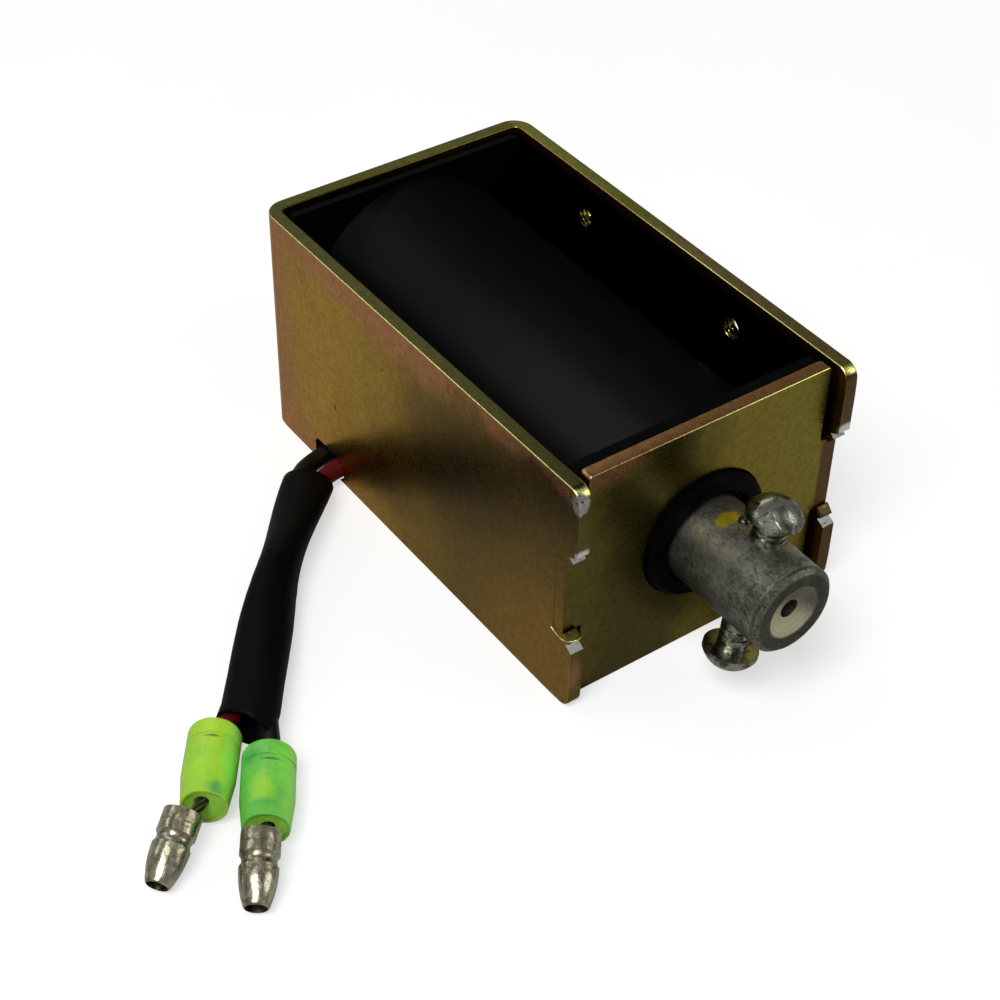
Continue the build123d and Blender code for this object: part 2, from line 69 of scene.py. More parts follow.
# Tapped holes in the right wall, in metres: middle of the four, half their spacing and drilled radius
HOLES_PLACE, HOLES_HEIGHT = 0.00715, 0.014
HOLES_ALONG, HOLES_RISE = 0.0125, 0.009
HOLE_RADIUS = 0.00125
HOLE_MARGIN = 1.25
TAPPED_HOLES = [
    (HOLES_PLACE + along, HOLES_HEIGHT + rise)
    for along in (HOLES_ALONG, -HOLES_ALONG) for rise in (HOLES_RISE, -HOLES_RISE)
]

# Thread of the tapped holes: rings of points along a bore, how far off the bore such a point may lie,
# the steepness of its flanks, the flat on its crests and how fast it runs out at the wall's faces
THREAD_CUTS = 23
BORE_SLACK = 0.00006
FLANK_STEEPNESS = 1.3
CREST_FLAT = 0.15
THREAD_RUNOUT = 3

# Bounds of the notch for the leads, at the foot of the left wall, in metres
NOTCH_TOP = 0.00295
NOTCH_FRONT, NOTCH_REAR = 0.0191, 0.0250

# Marks on the plating: small pits, and the scraped corner of the upper left ear
PITS = [
    ((-0.017, 0.0204, 0.0100), 0.00038),
    ((-0.017, 0.0107, 0.0212), 0.00022),
    ((-0.017, 0.0262, 0.0232), 0.00016),
    ((-0.017, 0.0012, 0.0061), 0.00018),
]
SCRAPE_PLACE = (-0.0168, -0.0221, 0.0266)
SCRAPE_REACH = (0.0011, 0.0011, 0.0014)

# Dark patches of the left wall, the second one, beside the leads' notch, being painted reflection and shadow
# of the sleeve and leads: place and reach in metres, softness, scale of the waver and weight
WALL_DARK_PATCHES = [
    ((-0.017, -0.0045, 0.0155), (0.01, 0.0175, 0.0135), 0.1, 250, 0.62),
    ((-0.017, 0.0105, 0.0062), (0.01, 0.0105, 0.0042), 0.1, 300, 0.5),
    ((-0.017, -0.0215, 0.0265), (0.01, 0.013, 0.0085), 0.2, 300, 0.85),
]

# Rose patches at the foot of the rear corner and at the end plate's upper left corner: place and reach
ROSE_FOOT = (-0.017, 0.030, 0.0), (0.01, 0.02, 0.006)
ROSE_CORNER = (-0.0135, -0.02075, 0.0275), (0.0075, 0.002, 0.0028)

# Where the painted shade over the frame's inside begins and where it is fully dark, along each axis, in
# metres
INSIDE_SHADE_BOUNDS = [
    ("X", -0.01562, -0.01556),
    ("X", 0.01562, 0.01556),
    ("Y", 0.0329, 0.03278),
    ("Y", -0.0194, -0.01928),
    ("Z", 0.0277, 0.0262),
]

# Line of the curled burr at the lower left ear, and the place of the burr beside the cross pin, in metres
CURL_ROUTE = [
    (-0.01702, -0.0190, 0.0089),
    (-0.01704, -0.0199, 0.0086),
    (-0.01704, -0.0209, 0.0086),
    (-0.0169, -0.0219, 0.0091),
    (-0.0163, -0.0223, 0.0094),
    (-0.0158, -0.0221, 0.0093),
]
PIN_BURR = (0.00069, -0.02548, 0.01852)
PIN_BURR_LEAN = (0.14, 0, 0.99)

# Half section of the burr beside the pin, as distance along it and radius, in millimetres
PIN_BURR_OUTLINE = [(-0.2, 0), (-0.2, 0.62), (0.1, 0.58), (0.3, 0.42), (0.4, 0.2), (0.42, 0)]

# Tinted patches of the ears' front ends, two of them in the edge line's highlight colour: place and reach in
# metres, colour, weight and softness
EAR_PATCHES = [
    ((-0.0163, -0.0222, 0.02045), (0.0011, 0.0006, 0.0007), "bare_zinc", 1.0, 0.4),
    ((0.0164, -0.0222, 0.0206), (0.0013, 0.0008, 0.0009), "bare_zinc", 1.0, 0.4),
    ((-0.0172, -0.0216, 0.0196), (0.0004, 0.0009, 0.0004), "plating_rose", 1.0, 0.4),
    ((-0.0165, -0.0223, 0.0045), (0.0012, 0.0006, 0.0034), "plating_rose", 0.65, 0.1),
    ((-0.0164, -0.0222, 0.0094), (0.0014, 0.0014, 0.0008), "plating_line_highlight", 0.3, 0.1),
    ((0.0164, -0.0222, 0.0094), (0.0014, 0.0014, 0.0008), "plating_line_highlight", 0.45, 0.1),
]

# Yellow plating left on the plunger: place and reach in metres, softness, waver, its scale and weight
YELLOW_PATCHES = [
    ((-0.00041, -0.02437, 0.01856), (0.0017, 0.0011, 0.0012), 0.55, 0.7, 1800, 1.0),
    ((0.00186, -0.03049, 0.0182), (0.0007, 0.0006, 0.0006), 0.3, 0.8, 2200, 0.7),
]

# Patches of the insulators: stains, dark seams, painted glow where light comes through and teal painted shade
# of the strands inside; colour, place and reach in metres, and weight
INSULATOR_PATCHES = {
    "red": [
        ("insulator_painted_glow", (-0.0491, -0.0126, 0.0035), (0.0014, 0.0048, 0.0026), 0.85),
        ("insulator_teal_and_shade", (-0.0519, -0.0153, 0.0047), (0.0019, 0.0012, 0.0016), 0.95),
        ("insulator_dark", (-0.04942, -0.00981, 0.00524), (0.0013, 0.00022, 0.0007), 0.8),
    ],
    "black": [
        ("insulator_lime", (-0.04876, -0.0177, 0.00523), (0.0018, 0.0026, 0.002), 0.6),
        ("insulator_painted_glow", (-0.0464, -0.0162, 0.0034), (0.0014, 0.0048, 0.0026), 0.85),
        ("insulator_teal_and_shade", (-0.04773, -0.01369, 0.00468), (0.0018, 0.0014, 0.0018), 0.85),
        ("insulator_teal_and_shade", (-0.0496, -0.0193, 0.0049), (0.0022, 0.0007, 0.0014), 0.6),
        ("insulator_dark", (-0.04632, -0.01537, 0.00521), (0.0014, 0.00022, 0.0007), 0.8),
    ],
}

# How each insulator's patches are turned about the vertical, in degrees
INSULATOR_PATCH_TURNS = {"red": -36, "black": -33}

# Where the chisel marks lie: behind the ears' front faces, and above or below the middle, in metres
STRUCK_DEPTH = 0.0013
STRUCK_NEAR, STRUCK_FAR = 0.0043, 0.0064
LOWER_BARED = 0.0086

# Routes of the leads and of their sleeve, in metres
BLACK_ROUTE = [
    (-0.0098, 0.02355, 0.00145),
    (-0.0186, 0.02355, 0.00145),
    (-0.02386, 0.0185, 0.00273),
    (-0.0279, 0.01404, 0.00186),
    (-0.03123, 0.00891, 0.00145),
    (-0.03433, 0.00366, 0.00186),
    (-0.03775, -0.00123, 0.00256),
    (-0.0425, -0.0074, 0.00285),
    (-0.0453, -0.01335, 0.0027),
    (-0.0482, -0.0177, 0.0029),
]
RED_ROUTE = [
    (-0.0098, 0.02055, 0.00145),
    (-0.0188, 0.02055, 0.00145),
    (-0.02194, 0.01648, 0.00297),
    (-0.02649, 0.01265, 0.00384),
    (-0.03123, 0.00891, 0.00425),
    (-0.03586, 0.00492, 0.00384),
    (-0.03992, 0.00045, 0.00314),
    (-0.04462, -0.00581, 0.00285),
    (-0.0478, -0.00785, 0.0027),
    (-0.0517, -0.0132, 0.0033),
]
SLEEVE_ROUTE = [
    (-0.022, 0.01835, 0.00285),
    (-0.0284, 0.01225, 0.00285),
    (-0.0366, 0.00255, 0.00285),
    (-0.04385, -0.00695, 0.00285),
]

# Line of each bare strand bundle, from the end of its lead into its bullet, in metres
STRAND_ROUTES = {
    "black": [(-0.0482, -0.0177, 0.0029), (-0.04887, -0.0187, 0.00294), (-0.05127, -0.02273, 0.00302)],
    "red": [(-0.0517, -0.0132, 0.0033), (-0.05238, -0.01415, 0.0034), (-0.05639, -0.01666, 0.00306)],
}

# Middle of each insulator's mouth, in metres, and the way it faces
INSULATOR_MOUTHS = {
    "black": ((-0.05015, -0.02049, 0.00265), (-0.0049, -0.00767, 0)),
    "red": ((-0.05347, -0.01494, 0.00265), (-0.00537, -0.00734, 0)),
}

# Strand bundles: turn per metre of length in radians, and for each layer its strands and share of the radius
STRAND_TWIST = 900
STRAND_LAYERS = [(1, 0.0), (4, 0.55), (6, 1.0)]

# How far the sleeve reaches past its route and in how many rings, how many degrees that part leans,
# how much wider its end is and over how many rings, and the two ends of its slanting cut, in metres
SLEEVE_OVER = 0.0055
SLEEVE_OVER_RINGS = 6
SLEEVE_LEAN = -7
SLEEVE_FLARE = 0.07
SLEEVE_FLARE_RINGS = 9
SLEEVE_CUT = [(-0.0472, -0.0063, 0.003), (-0.0437, -0.0116, 0.003)]

# Light of the studio surround, and what is added to the floor for the camera
SURROUND = 0.25
FLOOR_LIFT = 0.58

# Studio lamps: name, place and size in metres, and power in watts; all aim at the same point
LAMP_TARGET = Vector((0, 0, 0.01))
LAMPS = [
    ("key", (-0.25, -0.15, 0.45), (0.25, 0.25), 1.9),
    ("fill", (0.35, -0.3, 0.25), (0.2, 0.3), 0.4),
    ("rim", (0.1, 0.4, 0.35), (0.4, 0.15), 0.3),
    ("edge", (-0.3, 0.36, 0.33), (0.2, 0.16), 0.17),
]

# The photograph's camera: its place in metres, its turn in degrees and its lens in millimetres
CAMERA_PLACE = Vector((-0.10519, -0.13009, 0.14896))
CAMERA_AZIMUTH = -36.317
CAMERA_ELEVATION = 41.168
CAMERA_ROLL = 1.432
CAMERA_LENS = 74.03


def size_property(name, description, default):
    """A length that a user may change, in metres."""
    return FloatProperty(name=name, description=description, default=default, unit="LENGTH", precision=5)


def colour_property(name, description, default):
    """A colour that a user may change."""
    return FloatVectorProperty(
        name=name, description=description, default=default, size=3, min=0, max=1, subtype="COLOR"
    )


class SolenoidSizes(PropertyGroup):
    """Sizes of the dressed pieces."""

    edge_round: size_property("Sheet edge", "Rounding of the blanked sheet edges", 0.00014)
    lead_width: size_property("Lead", "Outer diameter of each lead", 0.0021)
    sleeve_wide: size_property("Sleeve width", "Across the flattened sleeve, over both leads", 0.0057)
    sleeve_narrow: size_property("Sleeve thickness", "Across the flattened sleeve, the short way", 0.0044)
    sleeve_wall: size_property("Sleeve wall", "Thickness of the sleeve's wall", 0.0003)
    strand_width: size_property("Strand", "Diameter of one bare strand", 0.00024)
    bundle_width: size_property("Strand bundle", "Diameter of a lead's bundle of bare strands", 0.00116)
    curl_width: size_property("Curl", "Thickness of the curled burr at the lower left ear", 0.00015)
    web_width: size_property("Insulator web", "Diameter of the web inside an insulator's mouth", 0.00392)
    web_hole: size_property("Web hole", "Hole in the web for the strands", 0.0014)
    web_inset: size_property("Web inset", "How far the web lies inside the mouth", 0.0001)
    thread_pitch: size_property("Thread pitch", "Pitch of the tapped mounting holes", 0.0005)
    thread_minor: size_property("Thread minor", "Inner diameter of the tapped mounting holes", 0.0022)
    thread_major: size_property("Thread major", "Outer diameter of the tapped mounting holes", 0.003)


class SolenoidColours(PropertyGroup):
    """Colours of the finishes."""

    plating_gold: colour_property("Plating gold", "Main tone of the passivated walls", (0.47, 0.28, 0.034))
    plating_rose: colour_property("Plating rose", "Pink tone near the walls' edges", (0.45, 0.19, 0.09))
    plating_brown: colour_property("Plating brown", "Darker tone toward the front", (0.12, 0.078, 0.015))
    plating_amber: colour_property("Plating amber", "Tone at the foot of the walls", (0.25, 0.14, 0.022))
    plating_olive: colour_property("Plating olive", "Green tone of the end plate", (0.24, 0.2, 0.03))
    plating_shade: colour_property("Plating shade", "Dark green tone of the end plate", (0.062, 0.05, 0.013))
    plating_rim: colour_property("Plating rim", "Green of the walls' blanked edges", (0.064, 0.067, 0.0135))
    # Browner tone, also brightened as painted light to make up for light falling off toward the front
    plating_rim_warm_lit: colour_property("Warm rim", "Brown of the right rim's front", (0.175, 0.14, 0.048))
    plating_rim_dark: colour_property("Left rim", "Dark olive tone of the left rim", (0.046, 0.045, 0.0125))
    plating_rim_clear: colour_property("Right rim", "Green of the right rim's rear", (0.11, 0.12, 0.02))
    plating_copper: colour_property("Plating copper", "Pink of the end plate's rim", (0.255, 0.125, 0.047))
    # Umber of the scraped corner and of the dark wall patches, one of which is painted reflection and shadow
    plating_umber_and_shade: colour_property("Plating umber", "Dark stains of the walls", (0.07, 0.045, 0.018))
    # Painted shade: near-black laid over the frame's inside faces
    plating_inside_shade: colour_property("Plating inside", "Dark inside of the frame", (0.0012, 0.0011, 0.0006))
    plating_pit: colour_property("Plating pit", "Specks and pits of the plating", (0.012, 0.009, 0.012))
    # Painted shade in the roots of the tapped threads
    thread_root_shade: colour_property("Thread root", "Dark roots of the tapped threads", (0.022, 0.019, 0.003))
    scraped_zinc: colour_property("Scraped metal", "Dull grey of a scraped corner", (0.44, 0.43, 0.41))
    plating_russet: colour_property("Plating russet", "Dark red tone of the right ears", (0.11, 0.062, 0.028))
    # Painted highlight colour: the bright edge line and the thread crests' glint; also given to the curl and
    # two ear patches
    plating_line_highlight: colour_property("Plating line", "Bright line along the outer edges", (0.9, 0.88, 0.28))
    bare_zinc: colour_property("Bare metal", "Where the plating is struck off", (0.86, 0.87, 0.84))
    wrap_black: colour_property("Coil wrap", "Black film round the winding", (0.0019, 0.0021, 0.0019))
    # Painted highlight: grey sheen laid along the wrap's left side, stronger near the front
    wrap_painted_sheen: colour_property("Wrap sheen", "Grey sheen on the wrap's left side", (0.0065, 0.0082, 0.0072))
    wrap_painted_sheen_front: colour_property("Wrap front", "The same sheen near the front", (0.0105, 0.0122, 0.0105))
    wrap_scuff: colour_property("Wrap scuffs", "Scuffs of the wrap", (0.012, 0.013, 0.012))
    moulded_black: colour_property("Bobbin", "Black moulded plastic", (0.00124, 0.00124, 0.00124))
    winding_copper: colour_property("Winding", "Enamelled copper of the winding", (0.6, 0.22, 0.08))
    # Painted shade: the brass is darkened so the gap round the plunger reads as shade
    drawn_brass_painted_shade: colour_property("Brass", "Brass of the guide tube and washer", (0.14, 0.1, 0.045))
    solder_grey: colour_property("Solder", "Dull metal of the spliced joints", (0.5, 0.5, 0.5))
    worn_light: colour_property("Plunger light", "Rubbed steel of the plunger", (0.38, 0.38, 0.31))
    # Dark stained steel, also laid across the end's dish as painted shade
    worn_dark_and_shade: colour_property("Plunger dark", "Stained steel of the plunger", (0.085, 0.083, 0.064))
    turned_warm: colour_property("Plunger end", "Turned rings in the plunger's end", (0.7, 0.68, 0.43))
    # Painted shade: darkens the plunger's downward-facing side
    underside_painted_shade: colour_property("Plunger underside", "Stained underside of the plunger", (0.035, 0.031, 0.02))
    ring_dark: colour_property("Plunger ring", "Flat ring in the plunger's end", (0.034, 0.033, 0.019))
    chamfer_light: colour_property("Plunger chamfer", "Rubbed edge of the plunger's end", (0.42, 0.42, 0.32))
    chromate_yellow: colour_property("Chromate", "Yellow plating left by the pin", (0.56, 0.47, 0.03))
    pin_light: colour_property("Pin light", "Bright steel of the cross pin", (0.31, 0.325, 0.26))
    pin_dark: colour_property("Pin dark", "Stained steel of the cross pin", (0.08, 0.085, 0.065))
    black_pvc: colour_property("Black lead", "Insulation of the black lead", (0.003, 0.003, 0.003))
    red_pvc: colour_property("Red lead", "Insulation of the red lead", (0.085, 0.0035, 0.007))
    sleeve_black: colour_property("Sleeve", "Matte black sleeve over the leads", (0.0028, 0.0025, 0.0022))
    insulator_lime: colour_property("Insulator lime", "Yellow-green of the insulators", (0.43, 0.67, 0.025))
    insulator_green: colour_property("Insulator green", "Green of the insulators", (0.17, 0.58, 0.06))
    # Painted light: lighter green laid where light comes through the plastic
    insulator_painted_glow: colour_property("Insulator clear", "Green where light comes through", (0.29, 0.85, 0.1))
    # Painted light: brighter green on the sides facing away from the key lamp
    insulator_far_painted_light: colour_property("Insulator far side", "Green on the right sides", (0.36, 0.96, 0.12))
    insulator_web: colour_property("Insulator web", "Green of the web in a mouth", (0.36, 0.85, 0.06))
    # Blue-green tone of the insulators, also laid in patches as painted shade of the strands seen through the
    # plastic
    insulator_teal_and_shade: colour_property("Insulator teal", "Blue-green stains", (0.05, 0.36, 0.08))
    insulator_dark: colour_property("Insulator dark", "Dark seams of the insulators", (0.015, 0.108, 0.024))
    bullet_light: colour_property("Bullet light", "Plated metal of the bullets", (0.46, 0.43, 0.31))
    bullet_dark: colour_property("Bullet dark", "Tarnish of the bullets", (0.13, 0.118, 0.065))
    strand_metal: colour_property("Strands", "Tarnished copper strands", (0.10, 0.095, 0.045))
    floor_pale: colour_property("Floor", "Pale floor and backdrop", (0.5, 0.5, 0.5))
    floor_fibre: colour_property("Floor fibre", "Slightly darker fibres of the floor", (0.49, 0.49, 0.49))


def sizes():
    """The scene's sizes."""
    return bpy.context.scene.solenoid_sizes


def colours():
    """The scene's colours."""
    return bpy.context.scene.solenoid_colours


class Finish:
    """A material being made: its nodes, its Object coordinates and its Principled shader."""

    def __init__(self, name, **sockets):
        self.material = bpy.data.materials.new(name)
        self.material.use_nodes = True
        self.tree = self.material.node_tree
        self.shader = self.tree.nodes["Principled BSDF"]
        self.place = self.node("ShaderNodeTexCoord").outputs["Object"]
        for socket, value in sockets.items():
            self.shader.inputs[socket.replace("_", " ")].default_value = value

    def node(self, kind, **settings):
        """A new node with its settings."""
        made = self.tree.nodes.new(kind)
        for setting, value in settings.items():
            setattr(made, setting, value)
        return made

    def feed(self, socket, value):
        """Link a socket into another, or set a plain value on it."""
        if isinstance(value, bpy.types.NodeSocket):
            self.tree.links.new(value, socket)
        elif hasattr(value, "__len__") and len(value) == 3 and len(socket.default_value) == 4:
            socket.default_value = (*value, 1)
        else:
            socket.default_value = value

    def stretched(self, scale, turn=(0, 0, 0), centre=(0, 0, 0)):
        """Object coordinates about a centre, turned and stretched."""
        mapping = self.node("ShaderNodeMapping", vector_type="TEXTURE")
        self.feed(mapping.inputs["Vector"], self.place)
        mapping.inputs["Location"].default_value = centre
        mapping.inputs["Rotation"].default_value = turn
        mapping.inputs["Scale"].default_value = scale
        return mapping.outputs["Vector"]

    def noise(self, scale, detail=3.0, roughness=0.5, distortion=0.0, place=None):
        """A cloudy value from zero to one."""
        made = self.node("ShaderNodeTexNoise")
        self.feed(made.inputs["Vector"], place or self.place)
        made.inputs["Scale"].default_value = scale
        made.inputs["Detail"].default_value = detail
        made.inputs["Roughness"].default_value = roughness
        made.inputs["Distortion"].default_value = distortion
        return made.outputs["Fac"]

    def cells(self, scale):
        """Distance from scattered points."""
        made = self.node("ShaderNodeTexVoronoi")
        self.feed(made.inputs["Vector"], self.place)
        made.inputs["Scale"].default_value = scale
        return made.outputs["Distance"]

    def joined(self, x, y, z):
        """A place made from three values."""
        made = self.node("ShaderNodeCombineXYZ")
        for socket, value in zip(made.inputs, (x, y, z)):
            self.feed(socket, value)
        return made.outputs["Vector"]

    def part(self, letter, place=None):
        """One coordinate of a place."""
        split = self.node("ShaderNodeSeparateXYZ")
        self.feed(split.inputs["Vector"], place or self.place)
        return split.outputs[letter]

    def facing(self, letter):
        """One part of the surface's normal."""
        return self.part(letter, self.node("ShaderNodeNewGeometry").outputs["Normal"])

    def near(self, centre, reach, soft=0.5, waver=0.5, grain=1500, turn=(0, 0, 0)):
        """One inside a wavering patch about a centre and zero outside, in metres."""
        far = self.node("ShaderNodeVectorMath", operation="LENGTH")
        self.feed(far.inputs[0], self.stretched(reach, turn, centre))
        edge = self.product(self.noise(grain, 3, 0.6), waver)
        return self.band(self.math("ADD", far.outputs["Value"], edge), 1.0 + waver / 2, soft + waver / 2)

    def band(self, value, low, high, to_low=0.0, to_high=1.0):
        """Smooth step of a value between two limits."""
        made = self.node("ShaderNodeMapRange", interpolation_type="SMOOTHSTEP")
        self.feed(made.inputs["Value"], value)
        made.inputs["From Min"].default_value = low
        made.inputs["From Max"].default_value = high
        made.inputs["To Min"].default_value = to_low
        made.inputs["To Max"].default_value = to_high
        return made.outputs["Result"]

    def math(self, operation, first, second=0.0):
        """One step of arithmetic."""
        made = self.node("ShaderNodeMath", operation=operation)
        self.feed(made.inputs[0], first)
        self.feed(made.inputs[1], second)
        return made.outputs[0]

    def product(self, first, *others):
        """Values multiplied together."""
        for other in others:
            first = self.math("MULTIPLY", first, other)
        return first

    def mix(self, factor, first, second, blend="MIX"):
        """Two colours blended by a factor."""
        made = self.node("ShaderNodeMix", data_type="RGBA", blend_type=blend)
        self.feed(made.inputs["Factor"], factor)
        self.feed(made.inputs[6], first)
        self.feed(made.inputs[7], second)
        return made.outputs[2]

    def bump(self, height, distance, strength, after=None):
        """A normal bent by a height, after another bump where one is given."""
        made = self.node("ShaderNodeBump")
        self.feed(made.inputs["Height"], height)
        made.inputs["Distance"].default_value = distance
        made.inputs["Strength"].default_value = strength
        if after is not None:
            self.feed(made.inputs["Normal"], after)
        return made.outputs["Normal"]

    def set(self, socket, value):
        """Feed one of the shader's own sockets."""
        self.feed(self.shader.inputs[socket], value)


def wall_tone(finish, broad, y, z):
    """Gold walls with rose edges, darker toward the front, with an amber foot and umber dark patches, one of
    them painted reflection and shadow of the sleeve and leads.
    """
    c = colours()
    mix, band, product = finish.mix, finish.band, finish.product
    wall = mix(band(broad, 0.35, 0.7, 0, 0.55), c.plating_gold, c.plating_amber)
    wall = mix(band(y, 0.02, -0.006, 0, 0.95), wall, c.plating_brown)
    wall = mix(product(band(y, 0.002, -0.016), band(z, 0.019, 0.008)), wall, c.plating_amber)
    gold_rear = product(band(finish.facing("Y"), 0.5, 0.9), band(broad, 0.42, 0.62, 0, 0.75))
    rose = finish.math("MAXIMUM", band(z, 0.0225, 0.0272, 0, 0.85), band(y, 0.025, 0.0325, 0, 0.9))
    rose = product(rose, finish.math("SUBTRACT", 1.0, gold_rear), band(y, -0.012, 0.012, 0.25, 1.0))
    foot = product(finish.near(*ROSE_FOOT, soft=0.2, waver=0.2, grain=300), 0.7)
    wall = mix(finish.math("MAXIMUM", rose, foot), wall, c.plating_rose)
    # Dark patches; the second, beside the leads' notch, is painted reflection and shadow of the sleeve and
    # leads
    for place, reach, soft, scale, weight in WALL_DARK_PATCHES:
        stain = finish.near(place, reach, soft, waver=0.3, grain=scale)
        wall = mix(product(stain, weight), wall, c.plating_umber_and_shade)
    strip = product(band(z, 0.0259, 0.0272, 0, 0.6), band(y, 0.012, 0.0))
    return mix(strip, wall, c.plating_rose)


def plate_tone(finish, broad, x):
    """Olive front, darker on its left, with a rose corner and russet right ears."""
    c = colours()
    mix, band = finish.mix, finish.band
    plate = mix(band(broad, 0.35, 0.7, 0, 0.35), c.plating_olive, c.plating_amber)
    plate = mix(band(x, 0.004, -0.005, 0, 0.92), plate, c.plating_shade)
    plate = mix(band(x, -0.011, -0.0145, 0, 0.25), plate, c.plating_olive)
    corner = finish.near(*ROSE_CORNER, soft=0.1, waver=0.4, grain=500)
    plate = mix(finish.product(corner, 0.5), plate, c.plating_rose)
    return mix(band(finish.part("X"), 0.0148, 0.0154), plate, c.plating_russet)


def rim_tone(finish, rim, y):
    """Blanked upper edges: duller toward the left, with tones of their own on the two walls, the right rim's
    front browner and brightened as painted light.
    """
    c = colours()
    mix, band = finish.mix, finish.band
    across = finish.part("X")
    dull = mix(1.0, rim, (0.55, 0.6, 0.62), "MULTIPLY")
    rim = mix(band(across, 0.012, -0.012, 0, 0.55), rim, dull)
    rim = mix(band(across, -0.0150, -0.0154), rim, c.plating_rim_dark)
    # Right rim: browner toward the front, and brighter there as painted light
    right_rim = mix(band(y, 0.011, 0.001), c.plating_rim_clear, c.plating_rim_warm_lit)
    return mix(band(across, 0.0150, 0.0154), rim, right_rim)


def painted_edge_highlight(finish, tone):
    """Painted highlight: a bright line along the upper edges, rosy on the end plate's left and fading on the
    right wall.
    """
    c = colours()
    band, product = finish.band, finish.product
    across, along = finish.part("X"), finish.part("Y")
    upward = finish.facing("Z")
    line = product(band(upward, 0.15, 0.35), band(upward, 0.97, 0.85), band(finish.part("Z"), 0.0272, 0.0276))
    front = band(along, -0.0180, -0.0190)
    outer = finish.math("MAXIMUM", band(finish.facing("X"), -0.1, -0.25), front)
    fading = finish.math("MAXIMUM", band(across, 0.004, 0.0), band(along, 0.018, -0.002, 0.1))
    rosy = product(band(across, 0.013, -0.010, 0, 0.8), front, band(across, -0.0152, -0.0148))
    # Painted highlight laid on the bevels of the upper edges
    bright = finish.mix(rosy, c.plating_line_highlight, c.plating_rose)
    return finish.mix(product(line, outer, fading), tone, bright)


def plating_wear_and_shade(finish, tone):
    """Painted shade over the frame's inside, specks and pits, tinted patches of the ears and the scraped
    corner.
    """
    c = colours()
    mix, band, product = finish.mix, finish.band, finish.product
    inside = (band(finish.part(letter), edge, full) for letter, edge, full in INSIDE_SHADE_BOUNDS)
    # Painted shade: the frame's inside faces are darkened to near black
    tone = mix(product(*inside), tone, c.plating_inside_shade)
    pits = product(band(finish.cells(1300), 0.16, 0.06), band(finish.noise(330, 2), 0.5, 0.62))
    for place, reach in PITS:
        pit = finish.near(place, (reach, reach * 0.8, reach * 1.3), 0.6, 0.3, 4000)
        pits = finish.math("MAXIMUM", pits, pit)
    tone = mix(product(pits, 0.75), tone, c.plating_pit)
    for place, reach, patch, weight, soft in EAR_PATCHES:
        spread = product(finish.near(place, reach, soft, 0.5, 2000), weight)
        tone = mix(spread, tone, getattr(c, patch))
    scraped = finish.near(SCRAPE_PLACE, SCRAPE_REACH, 0.75, 0.6, 3000)
    dull = mix(band(finish.noise(3800, 3, 0.7), 0.56, 0.66), c.scraped_zinc, c.plating_umber_and_shade)
    return mix(scraped, tone, dull)


def plating_finish(name, rim):
    """Yellow-passivated zinc plate: walls, front and rims have their own tones, with dark patches and wear, a
    painted highlight along the upper edges, painted light on the right rim's front and painted shade over the
    inside and beside the leads.
    """
    finish = Finish(name, Metallic=1.0)
    mix, band = finish.mix, finish.band
    broad = finish.noise(75, 3, 0.55, 0.6)
    drift = finish.product(finish.math("SUBTRACT", finish.noise(150, 3, 0.55), 0.5), 0.009)
    x, y, z = (finish.math("ADD", finish.part(letter), drift) for letter in "XYZ")
    wall, plate = wall_tone(finish, broad, y, z), plate_tone(finish, broad, x)
    tone = mix(band(finish.facing("Y"), -0.45, -0.75), wall, plate)
    tone = mix(band(finish.facing("Z"), 0.75, 0.95), tone, rim_tone(finish, rim, y))
    tone = painted_edge_highlight(finish, tone)
    shade = band(finish.noise(1300, 5, 0.7), 0.3, 0.7, 0.8, 1.16)
    tone = plating_wear_and_shade(finish, mix(1.0, tone, shade, "MULTIPLY"))
    grain = finish.noise(5200, 2, 0.6)
    finish.set("Base Color", tone)
    finish.set("Specular Tint", (1.0, 0.92, 0.74))
    finish.set("Roughness", band(grain, 0.3, 0.7, 0.25, 0.34))
    finish.set("Normal", finish.bump(grain, 0.00002, 0.35))
    return finish.material


def thread_finish():
    """Passivated thread with a painted glint along the crests and painted shade in the roots."""
    c = colours()
    finish = Finish("tapped_thread", Metallic=1.0, Roughness=0.24)
    math_of = finish.math
    parts = []
    for letter, middle, half in (("Y", HOLES_PLACE, HOLES_ALONG), ("Z", HOLES_HEIGHT, HOLES_RISE)):
        away = math_of("ABSOLUTE", math_of("SUBTRACT", finish.part(letter), middle))
        parts.append(math_of("POWER", math_of("SUBTRACT", away, half), 2.0))
    radius = math_of("SQRT", math_of("ADD", *parts))
    # Painted glint on the crests and painted shade in the roots, by distance from the hole's axis
    crest = finish.band(radius, 0.00142, 0.00122)
    crest = finish.product(crest, finish.band(finish.noise(1400, 3), 0.4, 0.62, 0, 0.75))
    finish.set("Base Color", finish.mix(crest, c.thread_root_shade, c.plating_line_highlight))
    return finish.material


def struck_finish():
    """Zinc laid bare by the chisel, with flakes of plating left on it."""
    c = colours()
    finish = Finish("struck_metal", Metallic=0.85, Roughness=0.42)
    flakes = finish.band(finish.noise(2300, 4, 0.6), 0.6, 0.7)
    finish.set("Base Color", finish.mix(flakes, c.bare_zinc, c.plating_rim))
    finish.set("Normal", finish.bump(finish.noise(1700, 3, 0.6), 0.00012, 0.6))
    return finish.material


def plain_finish(name, colour, roughness, metallic=0.0, grain=2500, shine=0.5):
    """A simple material with a fine grain in its colour, gloss and surface."""
    finish = Finish(name, Metallic=metallic, Specular_IOR_Level=shine)
    fine = finish.noise(grain, 3, 0.6)
    broad = finish.noise(grain / 8, 3, 0.5)
    dark = tuple(0.75 * part for part in colour)
    light = tuple(min(1, 1.2 * part) for part in colour)
    finish.set("Base Color", finish.mix(finish.band(broad, 0.3, 0.7), dark, light))
    finish.set("Roughness", finish.band(fine, 0.3, 0.7, roughness - 0.03, roughness + 0.03))
    finish.set("Normal", finish.bump(fine, 0.00002, 0.4))
    return finish.material


